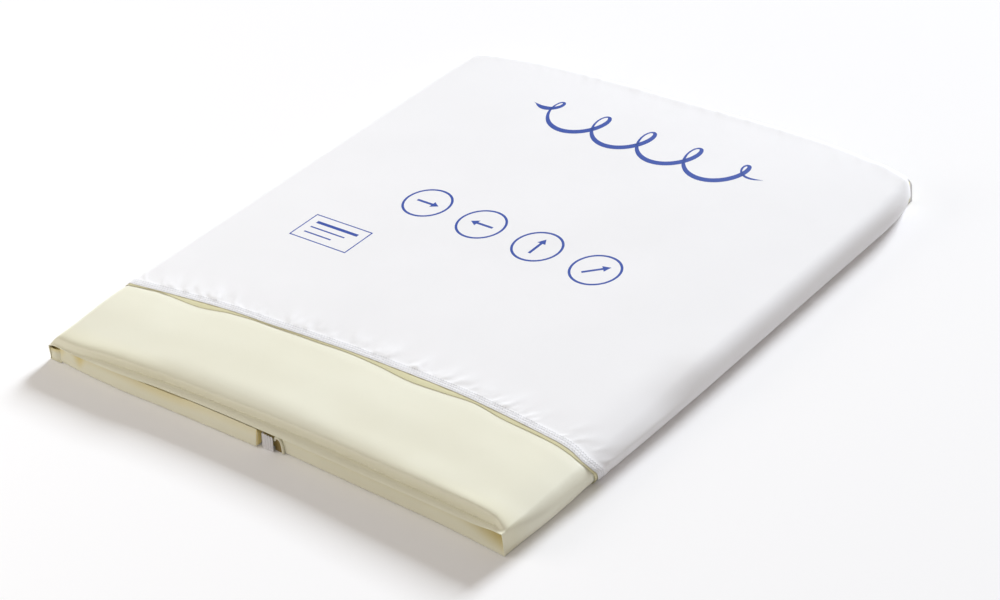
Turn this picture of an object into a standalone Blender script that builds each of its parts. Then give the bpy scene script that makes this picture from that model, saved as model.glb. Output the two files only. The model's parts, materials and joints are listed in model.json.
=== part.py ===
"""Gate-folding lateral transfer board in its cloth covers, folded for storage.

Metres, +Z up. X runs across the folded board and Y from its near end to its far end. The board
lies on z = 0 with a full-width centre panel on top of two wings. Each wing hinges along one long
side, on an axis between the two layers, and swings out until all three panels lie in one plane.
"""

import math

import bmesh
import bpy
from mathutils import Vector

for item in list(bpy.data.objects):
    bpy.data.objects.remove(item, do_unlink=True)

MM = 0.001

# Folded size
folded_width = 483 * MM
folded_length = 559 * MM
wing_gap = 18 * MM

# Thickness of each layer, and the clearance that two touching layers keep
sleeve_cloth = 0.5 * MM
lining_cloth = 0.3 * MM
cover_cloth = 0.5 * MM
outer_foam = 3.0 * MM
stiff_sheet = 2.0 * MM
inner_foam = 3.0 * MM
layer_gap = 0.3 * MM

# The top panel's foam swells to this height over its edges
crown = 1.7 * MM

# Where each layer stops, measured from the ends of the folded board
cover_shown = 100 * MM
lining_shown = 8 * MM
core_near_margin = 21 * MM
core_far_margin = 20 * MM
cover_far_margin = 8 * MM
lining_far_margin = 3 * MM

# The top cover drops past the core and ends in a flat lip, which stands up at the right corner
near_lip = 8 * MM
right_corner_rise = 7 * MM
right_rise_run = 70 * MM

# The wings' covers turn up past the core in a face that leans back under the lip above, and stop
# this far under the top of the inner cloth. The right one stands further back, less so at its fold.
right_lip_setback = 4.5 * MM
right_setback_run = 80 * MM
wing_lip_lean = 4.5 * MM
wing_lip_turn = 7 * MM
wing_mouth = 1.3 * MM

# The folds' near ends are drawn in and boxed, the right one most, and their far ends a little
left_draw = 1.5 * MM
right_draw = 10.5 * MM
near_draw_run = 42 * MM
far_draw = 5 * MM
far_draw_run = 110 * MM
boxed_power = 0.5

# Rounded corners and edges
far_corner_radius = 34 * MM
far_droop = 5 * MM
corner_droop = 4 * MM
wing_edge_radius = 4 * MM
stiffener_corner_radius = 12 * MM
stiffener_margin = 3 * MM

# How finely the curved cloths are divided
fold_facets = 12
edge_facets = 3
drop_facets = 8
panel_columns = 18
wing_columns = 6
panel_rows = 10
end_rows = 10

# Stack of one panel, from the face that is outside when folded to the face between the panels
LAYERS = (
    ("sleeve", sleeve_cloth),
    ("lining", lining_cloth),
    ("cover", cover_cloth),
    ("outer_foam", outer_foam),
    ("stiffener", stiff_sheet),
    ("inner_foam", inner_foam),
    ("inner_cover", cover_cloth),
    ("inner_lining", lining_cloth),
    ("inner_sleeve", sleeve_cloth),
)
THICK = dict(LAYERS)
DEPTH = {}
depth_so_far = 0.0
for layer_name, layer_thickness in LAYERS:
    DEPTH[layer_name] = depth_so_far
    depth_so_far += layer_thickness + layer_gap
panel_thickness = depth_so_far - layer_gap
stack_height = 2 * panel_thickness + layer_gap

half_width = folded_width / 2
near_end = -folded_length / 2
far_end = folded_length / 2
core_near = near_end + core_near_margin
core_far = far_end - core_far_margin

# Each fold is a half round whose outside spans the whole stack
fold_radius = stack_height / 2
hinge_x = half_width - fold_radius
hinge_z = fold_radius
flat_edge = hinge_x - layer_gap / 2


def principled(name, colour, roughness, metallic=0.0):
    """A plain Principled material in the colour the photo shows."""
    material = bpy.data.materials.new(name)
    material.use_nodes = True
    shader = material.node_tree.nodes["Principled BSDF"]
    shader.inputs["Base Color"].default_value = (*colour, 1.0)
    shader.inputs["Roughness"].default_value = roughness
    shader.inputs["Metallic"].default_value = metallic
    return material


SLEEVE = principled("white_sleeve_cloth", (0.86, 0.86, 0.86), 0.75)
LINING = principled("yellow_lining_cloth", (0.72, 0.66, 0.36), 0.45)
COVER = principled("cream_cover_cloth", (0.84, 0.80, 0.58), 0.50)
FOAM = principled("grey_foam", (0.40, 0.41, 0.42), 0.90)
STIFF = principled("white_plastic_sheet", (0.70, 0.72, 0.73), 0.40)


def hinge_empty(name, side):
    """The axis that a wing hangs on: side is -1 for the left and 1 for the right."""
    empty = bpy.data.objects.new(name, None)
    empty.location = (side * hinge_x, 0.0, hinge_z)
    bpy.context.scene.collection.objects.link(empty)
    return empty


HINGES = {-1: hinge_empty("left_hinge", -1), 1: hinge_empty("right_hinge", 1)}


def smooth_step(value):
    """0 below 0, 1 above 1 and an S curve between."""
    t = min(1.0, max(0.0, value))
    return t * t * (3.0 - 2.0 * t)


def far_edge(x, margin, depth):
    """Where a layer ends at the far end: the board's corners are rounded in plan."""
    corner_centre = half_width - far_corner_radius
    past = abs(x) - corner_centre
    reach = far_corner_radius - margin
    if past <= 0.0:
        return far_end - margin
    share = min(1.0, past / (far_corner_radius - depth))
    return far_end - far_corner_radius + reach * math.sqrt(1.0 - share * share)


def far_sink(x, y):
    """How far the top cloths sink past the end of the core, most at the corners."""
    start = core_far + layer_gap
    full = far_droop + corner_droop * min(1.0, abs(x) / hinge_x)**4
    return full * smooth_step((y - start) / (far_end - start))


def near_sink(x, y):
    """How far the top cover sinks past the core, down to its flat lip."""
    lip_top = stack_height - DEPTH["inner_cover"] + layer_gap + cover_cloth
    rise = right_corner_rise * smooth_step((x - hinge_x + right_rise_run) / right_rise_run)
    full = stack_height - DEPTH["cover"] - lip_top - rise
    start = core_near - 2 * layer_gap
    lip = near_end + near_lip
    return full * smooth_step((start - y) / (start - lip))


def fold_draw(side, y):
    """How far a fold is drawn in, and the power that boxes its half round, along the board."""
    near_share = smooth_step(1.0 - (y - near_end) / near_draw_run)
    far_share = max(0.0, 1.0 - (far_end - y) / far_draw_run)
    near_draw = left_draw if side < 0 else right_draw
    return near_draw * near_share + far_draw * far_share**2, 1.0 - (1.0 - boxed_power) * near_share


def swell(x, y):
    """Height of the top panel's crown, which fades to nothing at the core's edges."""
    across = min(1.0, abs(x) / hinge_x)
    middle = (core_near + core_far) / 2
    along = min(1.0, abs(y - middle) / (core_far - middle))
    return crown * (1.0 - across**4) * (1.0 - along**4)


def grid_mesh(name, place, columns, rows):
    """A grid of columns by rows quads, whose corners place(column, row) puts in space."""
    shape = bmesh.new()
    bmesh.ops.create_grid(shape, x_segments=columns, y_segments=rows, size=0.5)
    for corner in shape.verts:
        column = round((corner.co.x + 0.5) * columns)
        row = round((corner.co.y + 0.5) * rows)
        corner.co = Vector(place(column, row))
    mesh = bpy.data.meshes.new(name)
    shape.to_mesh(mesh)
    shape.free()
    return mesh


def add_object(name, mesh, material, side=0):
    """Links a mesh as one node; a wing's node hangs on its hinge."""
    piece = bpy.data.objects.new(name, mesh)
    bpy.context.scene.collection.objects.link(piece)
    mesh.materials.append(material)
    if side:
        piece.parent = HINGES[side]
        for corner in mesh.vertices:
            corner.co -= HINGES[side].location
    mesh.shade_smooth()
    mesh.set_sharp_from_angle(angle=math.radians(40))
    return piece


def cloth(name, place, columns, rows, thickness, material, side=0, inward=True, pinched=False):
    """A cloth given by its outer face. inward picks the side it thickens to, and a pinched one has an
    edge drawn nearly shut, where even corners would cross."""
    piece = add_object(name, grid_mesh(name, place, columns, rows), material, side)
    wall = piece.modifiers.new("cloth_thickness", "SOLIDIFY")
    wall.thickness = thickness
    wall.offset = -1.0 if inward else 1.0
    wall.use_even_offset = not pinched
    return piece


# The face of a wing's near lip: how far each station stands behind its foremost line, and how far
# down from the mouth it is
WING_LIP = (
    (wing_lip_lean, 0.0),
    (wing_lip_lean * 0.8, 0.25),
    (wing_lip_lean * 0.5, 0.5),
    (wing_lip_lean * 0.2, 0.74),
    (0.0, 0.89),
    (wing_lip_lean * 0.15, 0.97),
    (wing_lip_lean * 0.6, 1.0),
)


def spread(low, high, count):
    """count + 1 even steps from low to high."""
    return [low + (high - low) * step / count for step in range(count + 1)]


def share_along(y, near):
    """Where y lies between near and the board's far end, from 0 to 1."""
    return (y - near) / (far_end - near)


def row_places(near, turned_up=False, dropped=False):
    """Stations along Y, closer together where the cloth bends."""
    places = []
    start = near
    if turned_up:
        places += [near + forward for forward, height_share in WING_LIP]
        start = near + wing_lip_turn
    if dropped:
        places.append(near)
        places += spread(near + near_lip, core_near - 2 * layer_gap, drop_facets)[:-1]
        start = near + near_draw_run
        places += spread(core_near - 2 * layer_gap, start, end_rows // 2)[:-1]
    places += spread(start, core_far, panel_rows)
    places += spread(core_far, far_end, end_rows)[1:]
    return places


def top_cloth(name, layer, near, margin, material, dropped=False):
    """The cloth on top of the centre panel, from fold to fold."""
    rows = row_places(near, dropped=dropped)
    xs = spread(-flat_edge, flat_edge, panel_columns)
    depth = DEPTH[layer]

    def place(column, row):
        x = xs[column]
        y = rows[row]
        if y > core_far:
            y = core_far + (far_edge(x, margin, depth) - core_far) * share_along(y, core_far)
        z = stack_height - depth + swell(x, y) - far_sink(x, y)
        if dropped:
            z -= near_sink(x, y)
        return x, y, z

    return cloth(name, place, len(xs) - 1, len(rows) - 1, THICK[layer], material)


def underside_cloth(name, layer, near, margin, material):
    """The flat cloth under the centre panel, between it and the wings."""
    xs = spread(-flat_edge, flat_edge, panel_columns)
    depth = DEPTH[layer]
    z = stack_height - depth - THICK[layer]

    def place(column, row):
        x = xs[column]
        return x, (near, far_edge(x, margin, depth))[row], z

    return cloth(name, place, len(xs) - 1, 1, THICK[layer], material, inward=False)


def fold_cloth(name, layer, side, near, margin, material):
    """The half round that carries a layer from the centre panel round to a wing."""
    rows = row_places(near, dropped=layer == "cover")
    depth = DEPTH[layer]
    radius = fold_radius - depth
    angles = spread(-math.pi / 2, math.pi / 2, fold_facets)
    rim_lean = THICK[layer] * math.tan(math.pi / 2 / fold_facets)
    start_x = flat_edge + layer_gap + rim_lean
    reach_x = hinge_x + radius - start_x
    if side < 0:
        angles.reverse()

    def place(column, row):
        reach = far_edge(start_x + reach_x * math.cos(angles[column]), margin, depth)
        y = near + (reach - near) * share_along(rows[row], near)
        draw, power = fold_draw(side, y)
        across = (reach_x - draw) * max(0.0, math.cos(angles[column]))**power
        sine = math.sin(angles[column])
        up = math.copysign(abs(sine)**power, sine) * radius
        sink = far_sink(hinge_x, y)
        if layer == "cover":
            sink += near_sink(side * hinge_x, y)
        if up > 0.0:
            up *= (radius - sink) / radius
        return side * (start_x + across), y, hinge_z + up

    return cloth(name, place, len(angles) - 1, len(rows) - 1, THICK[layer], material, inward=False)


def wing_section(depth):
    """A wing cloth's outer face in X and Z, from its fold along the floor, round and back."""
    edge = wing_gap / 2 + depth
    low = depth
    high = panel_thickness - depth
    radius = wing_edge_radius - depth
    path = [(x, low) for x in spread(flat_edge, edge + radius, wing_columns)[:-1]]
    for angle in spread(0.0, math.pi / 2, edge_facets):
        path.append((edge + radius - radius * math.sin(angle), low + radius - radius * math.cos(angle)))
    for angle in spread(0.0, math.pi / 2, edge_facets):
        path.append((edge + radius - radius * math.cos(angle), high - radius + radius * math.sin(angle)))
    path += [(x, high) for x in spread(edge + radius, flat_edge, wing_columns)[1:]]
    return path


def wing_cloth(name, layer, side, near, margin, material):
    """The cloth round a wing's outer face, free edge and inner face."""
    turned_up = layer == "cover"
    rows = row_places(near, turned_up=turned_up)
    depth = DEPTH[layer]
    path = wing_section(depth)
    if side < 0:
        path.reverse()
    high = panel_thickness - depth
    height = high - depth

    def place(column, row):
        x, z = path[column]
        reach = far_edge(x, margin, depth)
        y = near + (reach - near) * share_along(rows[row], near)
        if not turned_up:
            return side * x, y, z
        setback = right_lip_setback * smooth_step((flat_edge - x) / right_setback_run) if side > 0 else 0.0
        turn_end = near + wing_lip_turn
        y += setback * (1.0 - smooth_step((y - turn_end) / (core_near - turn_end)))
        if row < len(WING_LIP):
            forward, height_share = WING_LIP[row]
            from_top = (high - z) / height
            top_y = near + setback + wing_lip_lean + (wing_lip_turn - wing_lip_lean) * row / len(WING_LIP)
            low_y = near + setback + forward
            y = top_y + (low_y - top_y) * from_top
            open_share = wing_mouth / height
            z = high - (high - z) * (open_share + (1.0 - open_share) * height_share)
        return side * x, y, z

    columns = len(path) - 1
    return cloth(name, place, columns, len(rows) - 1, THICK[layer], material, side, pinched=turned_up)


def crowned_foam(name):
    """The centre panel's outer foam: flat below, crowned on top."""
    xs = spread(-flat_edge, flat_edge, panel_columns)
    ys = spread(core_near, core_far, panel_rows)
    top = stack_height - DEPTH["outer_foam"]
    mesh = grid_mesh(name, lambda c, r: (xs[c], ys[r], top + swell(xs[c], ys[r])), len(xs) - 1, len(ys) - 1)
    shape = bmesh.new()
    shape.from_mesh(mesh)
    lowered = bmesh.ops.extrude_face_region(shape, geom=shape.faces[:])["geom"]
    for corner in lowered:
        if isinstance(corner, bmesh.types.BMVert):
            corner.co.z = top - outer_foam
    bmesh.ops.recalc_face_normals(shape, faces=shape.faces)
    shape.to_mesh(mesh)
    shape.free()
    return add_object(name, mesh, FOAM)


def slab(name, low, high, material, side=0, corner_radius=0.0, edge_radius=0.0, edge_face=-1):
    """A flat slab between two corners. A wing's slab may have its free edge rounded on one face."""
    shape = bmesh.new()
    bmesh.ops.create_cube(shape, size=1.0)
    size = Vector(high) - Vector(low)
    middle = (Vector(high) + Vector(low)) / 2
    bmesh.ops.scale(shape, vec=size, verts=shape.verts)
    bmesh.ops.translate(shape, vec=middle, verts=shape.verts)
    if corner_radius:
        upright = [e for e in shape.edges if abs((e.verts[0].co - e.verts[1].co).z) > size.z / 2]
        bmesh.ops.bevel(
            shape, geom=upright, offset=corner_radius, segments=4, profile=0.5, affect="EDGES", material=-1
        )
    if edge_radius:
        free_x = min(low[0], high[0], key=abs)
        free = [
            edge for edge in shape.edges
            if all(abs(v.co.x - free_x) < MM / 100 and (v.co.z - middle.z) * edge_face > 0 for v in edge.verts)
        ]
        bmesh.ops.bevel(
            shape, geom=free, offset=edge_radius, segments=edge_facets, profile=0.5, affect="EDGES", material=-1
        )
    mesh = bpy.data.meshes.new(name)
    shape.to_mesh(mesh)
    shape.free()
    return add_object(name, mesh, material, side)


def centre_core():
    """Stiffener and foams of the full-width panel."""
    crowned_foam("centre_outer_foam")
    top = stack_height - DEPTH["stiffener"]
    edge = flat_edge - stiffener_margin
    slab(
        "centre_stiffener",
        (-edge, core_near + stiffener_margin, top - stiff_sheet),
        (edge, core_far - stiffener_margin, top),
        STIFF,
        corner_radius=stiffener_corner_radius,
    )
    top = stack_height - DEPTH["inner_foam"]
    slab("centre_inner_foam", (-flat_edge, core_near, top - inner_foam), (flat_edge, core_far, top), FOAM)


def wing_core(side, word):
    """Stiffener and foams of one wing, between its free edge and its fold."""
    free = wing_gap / 2 + DEPTH["outer_foam"]
    low_x, high_x = sorted((side * free, side * flat_edge))

    def between(layer, inset):
        low = (low_x + inset, core_near + inset, DEPTH[layer])
        high = (high_x - inset, core_far - inset, DEPTH[layer] + THICK[layer])
        return low, high

    rounding = wing_edge_radius - DEPTH["outer_foam"]
    slab(f"{word}_wing_outer_foam", *between("outer_foam", 0.0), FOAM, side, edge_radius=rounding)
    slab(
        f"{word}_wing_stiffener",
        *between("stiffener", stiffener_margin),
        STIFF,
        side,
        corner_radius=stiffener_corner_radius,
    )
    slab(f"{word}_wing_inner_foam", *between("inner_foam", 0.0), FOAM, side, edge_radius=rounding, edge_face=1)


def cloth_tube(tube, near, margin, material, dropped=False):
    """One cloth tube, cut at the folds into its six nodes."""
    top_cloth(f"top_{tube}", tube, near, margin, material, dropped=dropped)
    underside_cloth(f"centre_inner_{tube}", f"inner_{tube}", near, margin, material)
    for side, word in ((-1, "left"), (1, "right")):
        fold_cloth(f"{word}_fold_{tube}", tube, side, near, margin, material)
        wing_cloth(f"{word}_wing_{tube}", tube, side, near, margin, material)


cloth_tube("cover", near_end, cover_far_margin, COVER, dropped=True)
cloth_tube("lining", near_end + cover_shown - lining_shown, lining_far_margin, LINING)
cloth_tube("sleeve", near_end + cover_shown, 0.0, SLEEVE)
centre_core()
for wing_side, wing_word in ((-1, "left"), (1, "right")):
    wing_core(wing_side, wing_word)
    fold_foam_near = near_end + near_draw_run + layer_gap
    fold_cloth(f"{wing_word}_fold_foam", "outer_foam", wing_side, fold_foam_near, core_far_margin, FOAM)
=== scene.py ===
"""Looks of a gate-folded lateral transfer board in its cloth covers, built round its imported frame."""

import json
import math

import bmesh
import bpy
from mathutils import Matrix, Vector, noise


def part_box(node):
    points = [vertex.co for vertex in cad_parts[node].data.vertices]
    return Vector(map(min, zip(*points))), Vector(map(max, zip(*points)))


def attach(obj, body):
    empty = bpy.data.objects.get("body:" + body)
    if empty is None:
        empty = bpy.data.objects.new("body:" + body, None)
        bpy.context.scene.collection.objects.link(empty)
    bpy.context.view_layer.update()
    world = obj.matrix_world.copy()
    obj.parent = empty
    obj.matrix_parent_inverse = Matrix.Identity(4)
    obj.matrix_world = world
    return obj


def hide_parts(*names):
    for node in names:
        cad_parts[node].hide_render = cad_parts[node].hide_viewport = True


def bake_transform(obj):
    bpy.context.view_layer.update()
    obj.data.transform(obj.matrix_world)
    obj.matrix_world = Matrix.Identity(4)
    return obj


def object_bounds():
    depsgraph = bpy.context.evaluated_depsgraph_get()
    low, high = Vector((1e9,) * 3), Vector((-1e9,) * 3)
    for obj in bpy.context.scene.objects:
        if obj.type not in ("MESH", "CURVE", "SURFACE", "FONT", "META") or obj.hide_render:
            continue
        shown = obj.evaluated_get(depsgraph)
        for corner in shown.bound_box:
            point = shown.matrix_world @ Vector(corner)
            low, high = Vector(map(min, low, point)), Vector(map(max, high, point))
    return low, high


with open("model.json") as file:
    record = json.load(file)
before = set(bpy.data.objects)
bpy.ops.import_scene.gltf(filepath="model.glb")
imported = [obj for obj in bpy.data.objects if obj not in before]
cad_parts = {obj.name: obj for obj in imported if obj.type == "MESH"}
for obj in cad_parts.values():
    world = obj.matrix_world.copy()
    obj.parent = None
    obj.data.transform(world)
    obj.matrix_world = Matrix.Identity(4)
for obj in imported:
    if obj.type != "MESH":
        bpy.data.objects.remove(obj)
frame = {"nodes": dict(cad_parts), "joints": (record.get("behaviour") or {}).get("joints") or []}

bl_info = {
    "name": "Folded Transfer Board",
    "version": (1, 0, 0),
    "blender": (4, 5, 0),
    "location": "View3D > Sidebar > Transfer Board",
    "description": "Cloth covers, hems, stitching, padding and print of a folded transfer board",
    "category": "Add Mesh",
}

MM = 0.001
CAD_LOW, CAD_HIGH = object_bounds()
UP = Vector((0.0, 0.0, 1.0))

# The folds' axes and the stack's height, as packed
HINGE_X = abs(frame["joints"][0]["pos_m"][0])
HINGE_Z = frame["joints"][0]["pos_m"][2]
RADIUS = HINGE_Z
STACK = 2 * HINGE_Z
NEAR_END = CAD_LOW.y
FAR_END = CAD_HIGH.y
CORE_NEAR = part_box("centre_inner_foam")[0].y
CORE_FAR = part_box("centre_inner_foam")[1].y
CORE_MIDDLE = (CORE_NEAR + CORE_FAR) / 2
HALF_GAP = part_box("right_wing_sleeve")[0].x
WING_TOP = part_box("left_wing_sleeve")[1].z
SIDES = ((-1, "left"), (1, "right"))

# How deep each layer lies under the outside of the folded board
DEPTH = {layer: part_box(f"left_fold_{layer}")[0].z for layer in ("sleeve", "lining", "cover", "foam")}
CLOTH = {"sleeve": 0.35 * MM, "lining": 0.2 * MM, "cover": 0.5 * MM}

# Where each cloth begins at the near end, and how far before the board's far end it stops
NEAR_LINE = {
    "sleeve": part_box("top_sleeve")[0].y,
    "lining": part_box("top_lining")[0].y + 3 * MM,
    "cover": NEAR_END + 8 * MM,
}
FAR_MARGIN = {"sleeve": 0.0, "lining": 3 * MM, "cover": 8 * MM}
NEAR_DRAW_RUN = 120 * MM
FAR_DRAW_RUN = 100 * MM
FAR_STRIP_MARGIN = FAR_MARGIN["cover"] + 1.5 * MM
SLEEVE_LENGTH = FAR_END - NEAR_LINE["sleeve"]

# Rows of stitches behind a hem's edge, and one stitch's length, width and height
STITCH_ROWS = (1.4 * MM, 3.7 * MM, 6.0 * MM)
STITCH_SIZE = (1.7 * MM, 0.42 * MM, 0.16 * MM)

# Fold strips reach this far inboard of the hinges, onto the flat
SEAM_INSET = 12 * MM
SEAM_X = HINGE_X - SEAM_INSET
ARC_LENGTH = math.pi * RADIUS
COVER_FOLD = SEAM_INSET + ARC_LENGTH
FOLD_PATH = SEAM_INSET * 2 + ARC_LENGTH

# Lines seen on the board, in millimetres: place along X, place along Y
EDGE = {
    "sleeve": (
        (-229, -193.5), (-177, -187), (-132, -182), (-84, -179.5), (-38, -176.5), (7, -174.5), (97, -174.3),
        (143, -177), (189, -181), (215, -184), (229, -187.5),
    ),
    "lining": (
        (-229, -195.5), (-200, -191), (-154, -190.5), (-126, -184.5), (-97, -181.5), (-35, -178.3),
        (-5, -176.8), (27, -178), (60, -181), (92, -179.5), (122, -177.5), (150, -181.5),
        (192, -184.2), (229, -189),
    ),
}
LIP_EDGE = (
    (-236, -279.9), (-205, -281), (-176, -281), (-144, -279.6), (-113, -277.4), (-50, -275.6), (34, -275.6),
    (104, -276.2), (180, -277), (214, -277.2), (228, -279),
)
FLOOR_EDGE = {
    -1: ((-236, -278.6), (-205, -280.5), (-157, -281.5), (-114, -280.2), (-9, -278.6)),
    1: ((9, -272.8), (89, -274.3), (167, -275.8), (228, -279.2)),
}
FAR_LINE = (
    (-228, 262), (-214, 267), (-170, 275), (-100, 279), (0, 279.5), (100, 279), (150, 276), (180, 271.5),
    (205, 267.5), (220, 263), (228, 259),
)

# The top cover's near end, in millimetres: place along X, width of its flat lip, then how far behind the
# lip's edge the steep step and the soft shoulder begin
NEAR_SHAPE = (
    (-236, 1, 5.5, 14), (-211, 2, 6, 16), (-176, 6.5, 9.2, 24), (-144, 8, 10, 30.5), (-113, 8.2, 10.8, 42),
    (-50, 8.2, 11.2, 46), (-17, 9, 12, 44), (34, 9.5, 12.5, 41), (65, 9.5, 12, 36), (104, 8.5, 11, 31),
    (180, 7.5, 10.4, 19), (214, 5.5, 8, 16), (221, 4, 6.5, 15), (228, 2, 5, 14),
)
STEP_SLOPE = 0.39

# How high the lip's top lies and how much it rises to the right, how far it puffs up, and how deep and how
# long the dip towards the left corner is
LIP_TOP = 15.9 * MM
LIP_RISE = 4.4 * MM
LIP_PUFF = 1.3 * MM
CORNER_DIP = 4.4 * MM
CORNER_RUN = 70 * MM

# How far a fold is drawn in near the near end, in millimetres: place along Y, distance
FOLD_DRAW = {
    -1: ((-279.5, 0.2), (-240, 0.6), (-180, 0.2), (-140, 0)),
    1: ((-279.5, 11.2), (-240, 5.2), (-190, 3.8), (-130, 1.5), (-60, 0)),
}

# How boxed a fold's round is at the near end, and how far along it stays so
FOLD_BOXING = {-1: (0.94, 30 * MM), 1: (0.2, 16 * MM)}

# The two lower lips, in millimetres: place along X, height of their mouth, how far their face leans back
LOWER_LIP = {
    -1: (
        (-236, 14, 1), (-222, 15, 2.4), (-214, 14.6, 3), (-206, 11.8, 3.4), (-198, 14.4, 3.4),
        (-165, 15, 3.8), (-125, 13.6, 3.8), (-95, 14, 3.8), (-80, 15, 3.6), (-9, 15, 3),
    ),
    1: (
        (9, 15, 1.2), (150, 15.1, 2), (190, 15, 3), (203, 13.9, 5), (213, 11.8, 7.5), (221, 9.6, 9),
        (228, 8, 10),
    ),
}

# How much golden light and shade is painted in their mouths: place along X in millimetres, share
MOUTH_GOLD = {
    -1: (
        (-236, 0.7), (-228, 0.9), (-221, 0.25), (-214, 0.3), (-206, 1.0), (-197, 0.35), (-160, 0.35),
        (-125, 0.55), (-95, 0.55), (-60, 0.35), (-9, 0.3),
    ),
    1: ((9, 0.2), (180, 0.2), (198, 0.45), (212, 0.8), (228, 1.0)),
}


def clamp(value):
    """The value, kept from 0 to 1."""
    return min(1.0, max(0.0, value))


def s_curve(value, start=0.0, run=1.0):
    """0 before start, 1 a run further on and an S between."""
    t = clamp((value - start) / run)
    return t * t * (3.0 - 2.0 * t)


def fade(value, start=0.0, run=1.0):
    """1 before start, 0 a run further on and an S between."""
    return 1.0 - s_curve(value, start, run)


def mix(low, high, share):
    """The value a share of the way from low to high."""
    return low + (high - low) * share


def spread(low, high, count):
    """count + 1 even steps from low to high."""
    return [low + (high - low) * step / count for step in range(count + 1)]


def eased(t, start, start_rate, end, end_rate):
    """A cubic from start to end, for t from 0 to 1, that leaves and arrives at the rates given."""
    leaving = (2 * t**3 - 3 * t**2 + 1) * start + (t**3 - 2 * t**2 + t) * start_rate
    return leaving + (3 * t**2 - 2 * t**3) * end + (t**3 - t**2) * end_rate


def along_table(table, place, column=1, unit=MM):
    """A smooth curve through the rows of a table of millimetres, at a place in metres."""
    x = min(table[-1][0], max(table[0][0], place / MM))
    rows = [table[0], *table, table[-1]]
    for before, low, high, after in zip(rows, rows[1:], rows[2:], rows[3:]):
        if x <= high[0]:
            break
    span = high[0] - low[0]
    start_rate = (high[column] - before[column]) / (high[0] - before[0]) * span
    end_rate = (after[column] - low[column]) / (after[0] - low[0]) * span
    return eased((x - low[0]) / span, low[column], start_rate, high[column], end_rate) * unit


def ripple(u, v, grain, seed):
    """Smooth noise from about -1 to 1, with grain in metres."""
    return noise.noise(Vector((u / grain, v / grain, seed)))


# How the cloths lie


def near_drop(x, y):
    """How far the top cover has dropped towards its near end: a soft shoulder, a steep step, a flat lip."""
    behind = y - along_table(LIP_EDGE, x)
    if behind > 90 * MM:
        return 0.0
    lip, step, soft = (along_table(NEAR_SHAPE, x, column) for column in (1, 2, 3))
    early = CORNER_DIP * s_curve(-x / HINGE_X, 0.5, 0.5) * clamp(1.0 - behind / CORNER_RUN) ** 1.6
    lip_top = LIP_TOP + LIP_RISE * s_curve(x, 196 * MM, 40 * MM) ** 1.4
    full = STACK - DEPTH["cover"] - lip_top - shoulder_drop(x, y)
    puff = LIP_PUFF * s_curve(lip, 2 * MM, 5 * MM)
    bend = STEP_SLOPE * (soft - step) / 4
    if behind >= step:
        return early + bend * max(0.0, (soft - behind) / (soft - step)) ** 4
    if behind > lip:
        run = step - lip
        rate = mix(0.4, -0.3, s_curve(lip, MM, 4 * MM))
        return eased((step - behind) / run, early + bend, STEP_SLOPE * run, full - 0.25 * puff, rate * run)
    share = max(0.0, behind / lip)
    return full - puff * (0.25 * share + math.sin(math.pi * share) ** 0.7)


def far_edge(x, margin):
    """Where a layer ends at the far end, whose corners are rounded in plan."""
    return along_table(FAR_LINE, x) - margin


def far_drop(x, y):
    """How far the top cloths have rolled down at the far end."""
    roll, depth = 14 * MM, 11 * MM
    return depth * max(0.0, (y - far_edge(x, 0.0)) / roll + 1.0) ** 2.6


def shoulder_drop(x, y):
    """The right shoulder is rounder where the hem's gathers draw the sleeve in."""
    start, most = 201 * MM, 4.0 * MM
    return most * fade(y, -110 * MM, 75 * MM) * max(0.0, (x - start) / (27 * MM)) ** 2


def top_height(x, y):
    """Height of the outside of the folded stack over a point of the centre panel."""
    most, waves = 1.7 * MM, 0.45 * MM
    across = min(1.0, abs(x) / HINGE_X)
    along = min(1.0, abs(y - CORE_MIDDLE) / (CORE_FAR - CORE_MIDDLE))
    swell = (1.0 - across**4) * (1.0 - along**4) * (most + waves * ripple(x, y * 0.8, 95 * MM, 3.7))
    return STACK + swell - near_drop(x, y) - far_drop(x, y) - shoulder_drop(x, y)


def floor_sag(y, depth):
    """The cover lies straight on the floor where the sleeve ends."""
    off_floor, start, run = 0.3 * MM, -215 * MM, 25 * MM
    return max(0.0, depth - off_floor) * fade(y, start, run)


def fold_draw(side, y):
    """How far a fold is drawn in along the board, how boxed its round is, how near its far corner it is."""
    boxing, run = FOLD_BOXING[side]
    corner_start, corner_run = 192 * MM, 60 * MM
    corner = clamp((y - corner_start) / corner_run)
    far = RADIUS * (1.0 - math.sqrt(1.0 - corner**2.4))
    return along_table(FOLD_DRAW[side], y) + far, 1.0 - boxing * fade(y, NEAR_END, run), corner


def fold_turn(c):
    """How far round a fold a point c metres along its path has turned, from 0 to half a turn."""
    return math.pi * clamp((c - SEAM_INSET) / ARC_LENGTH)


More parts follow.
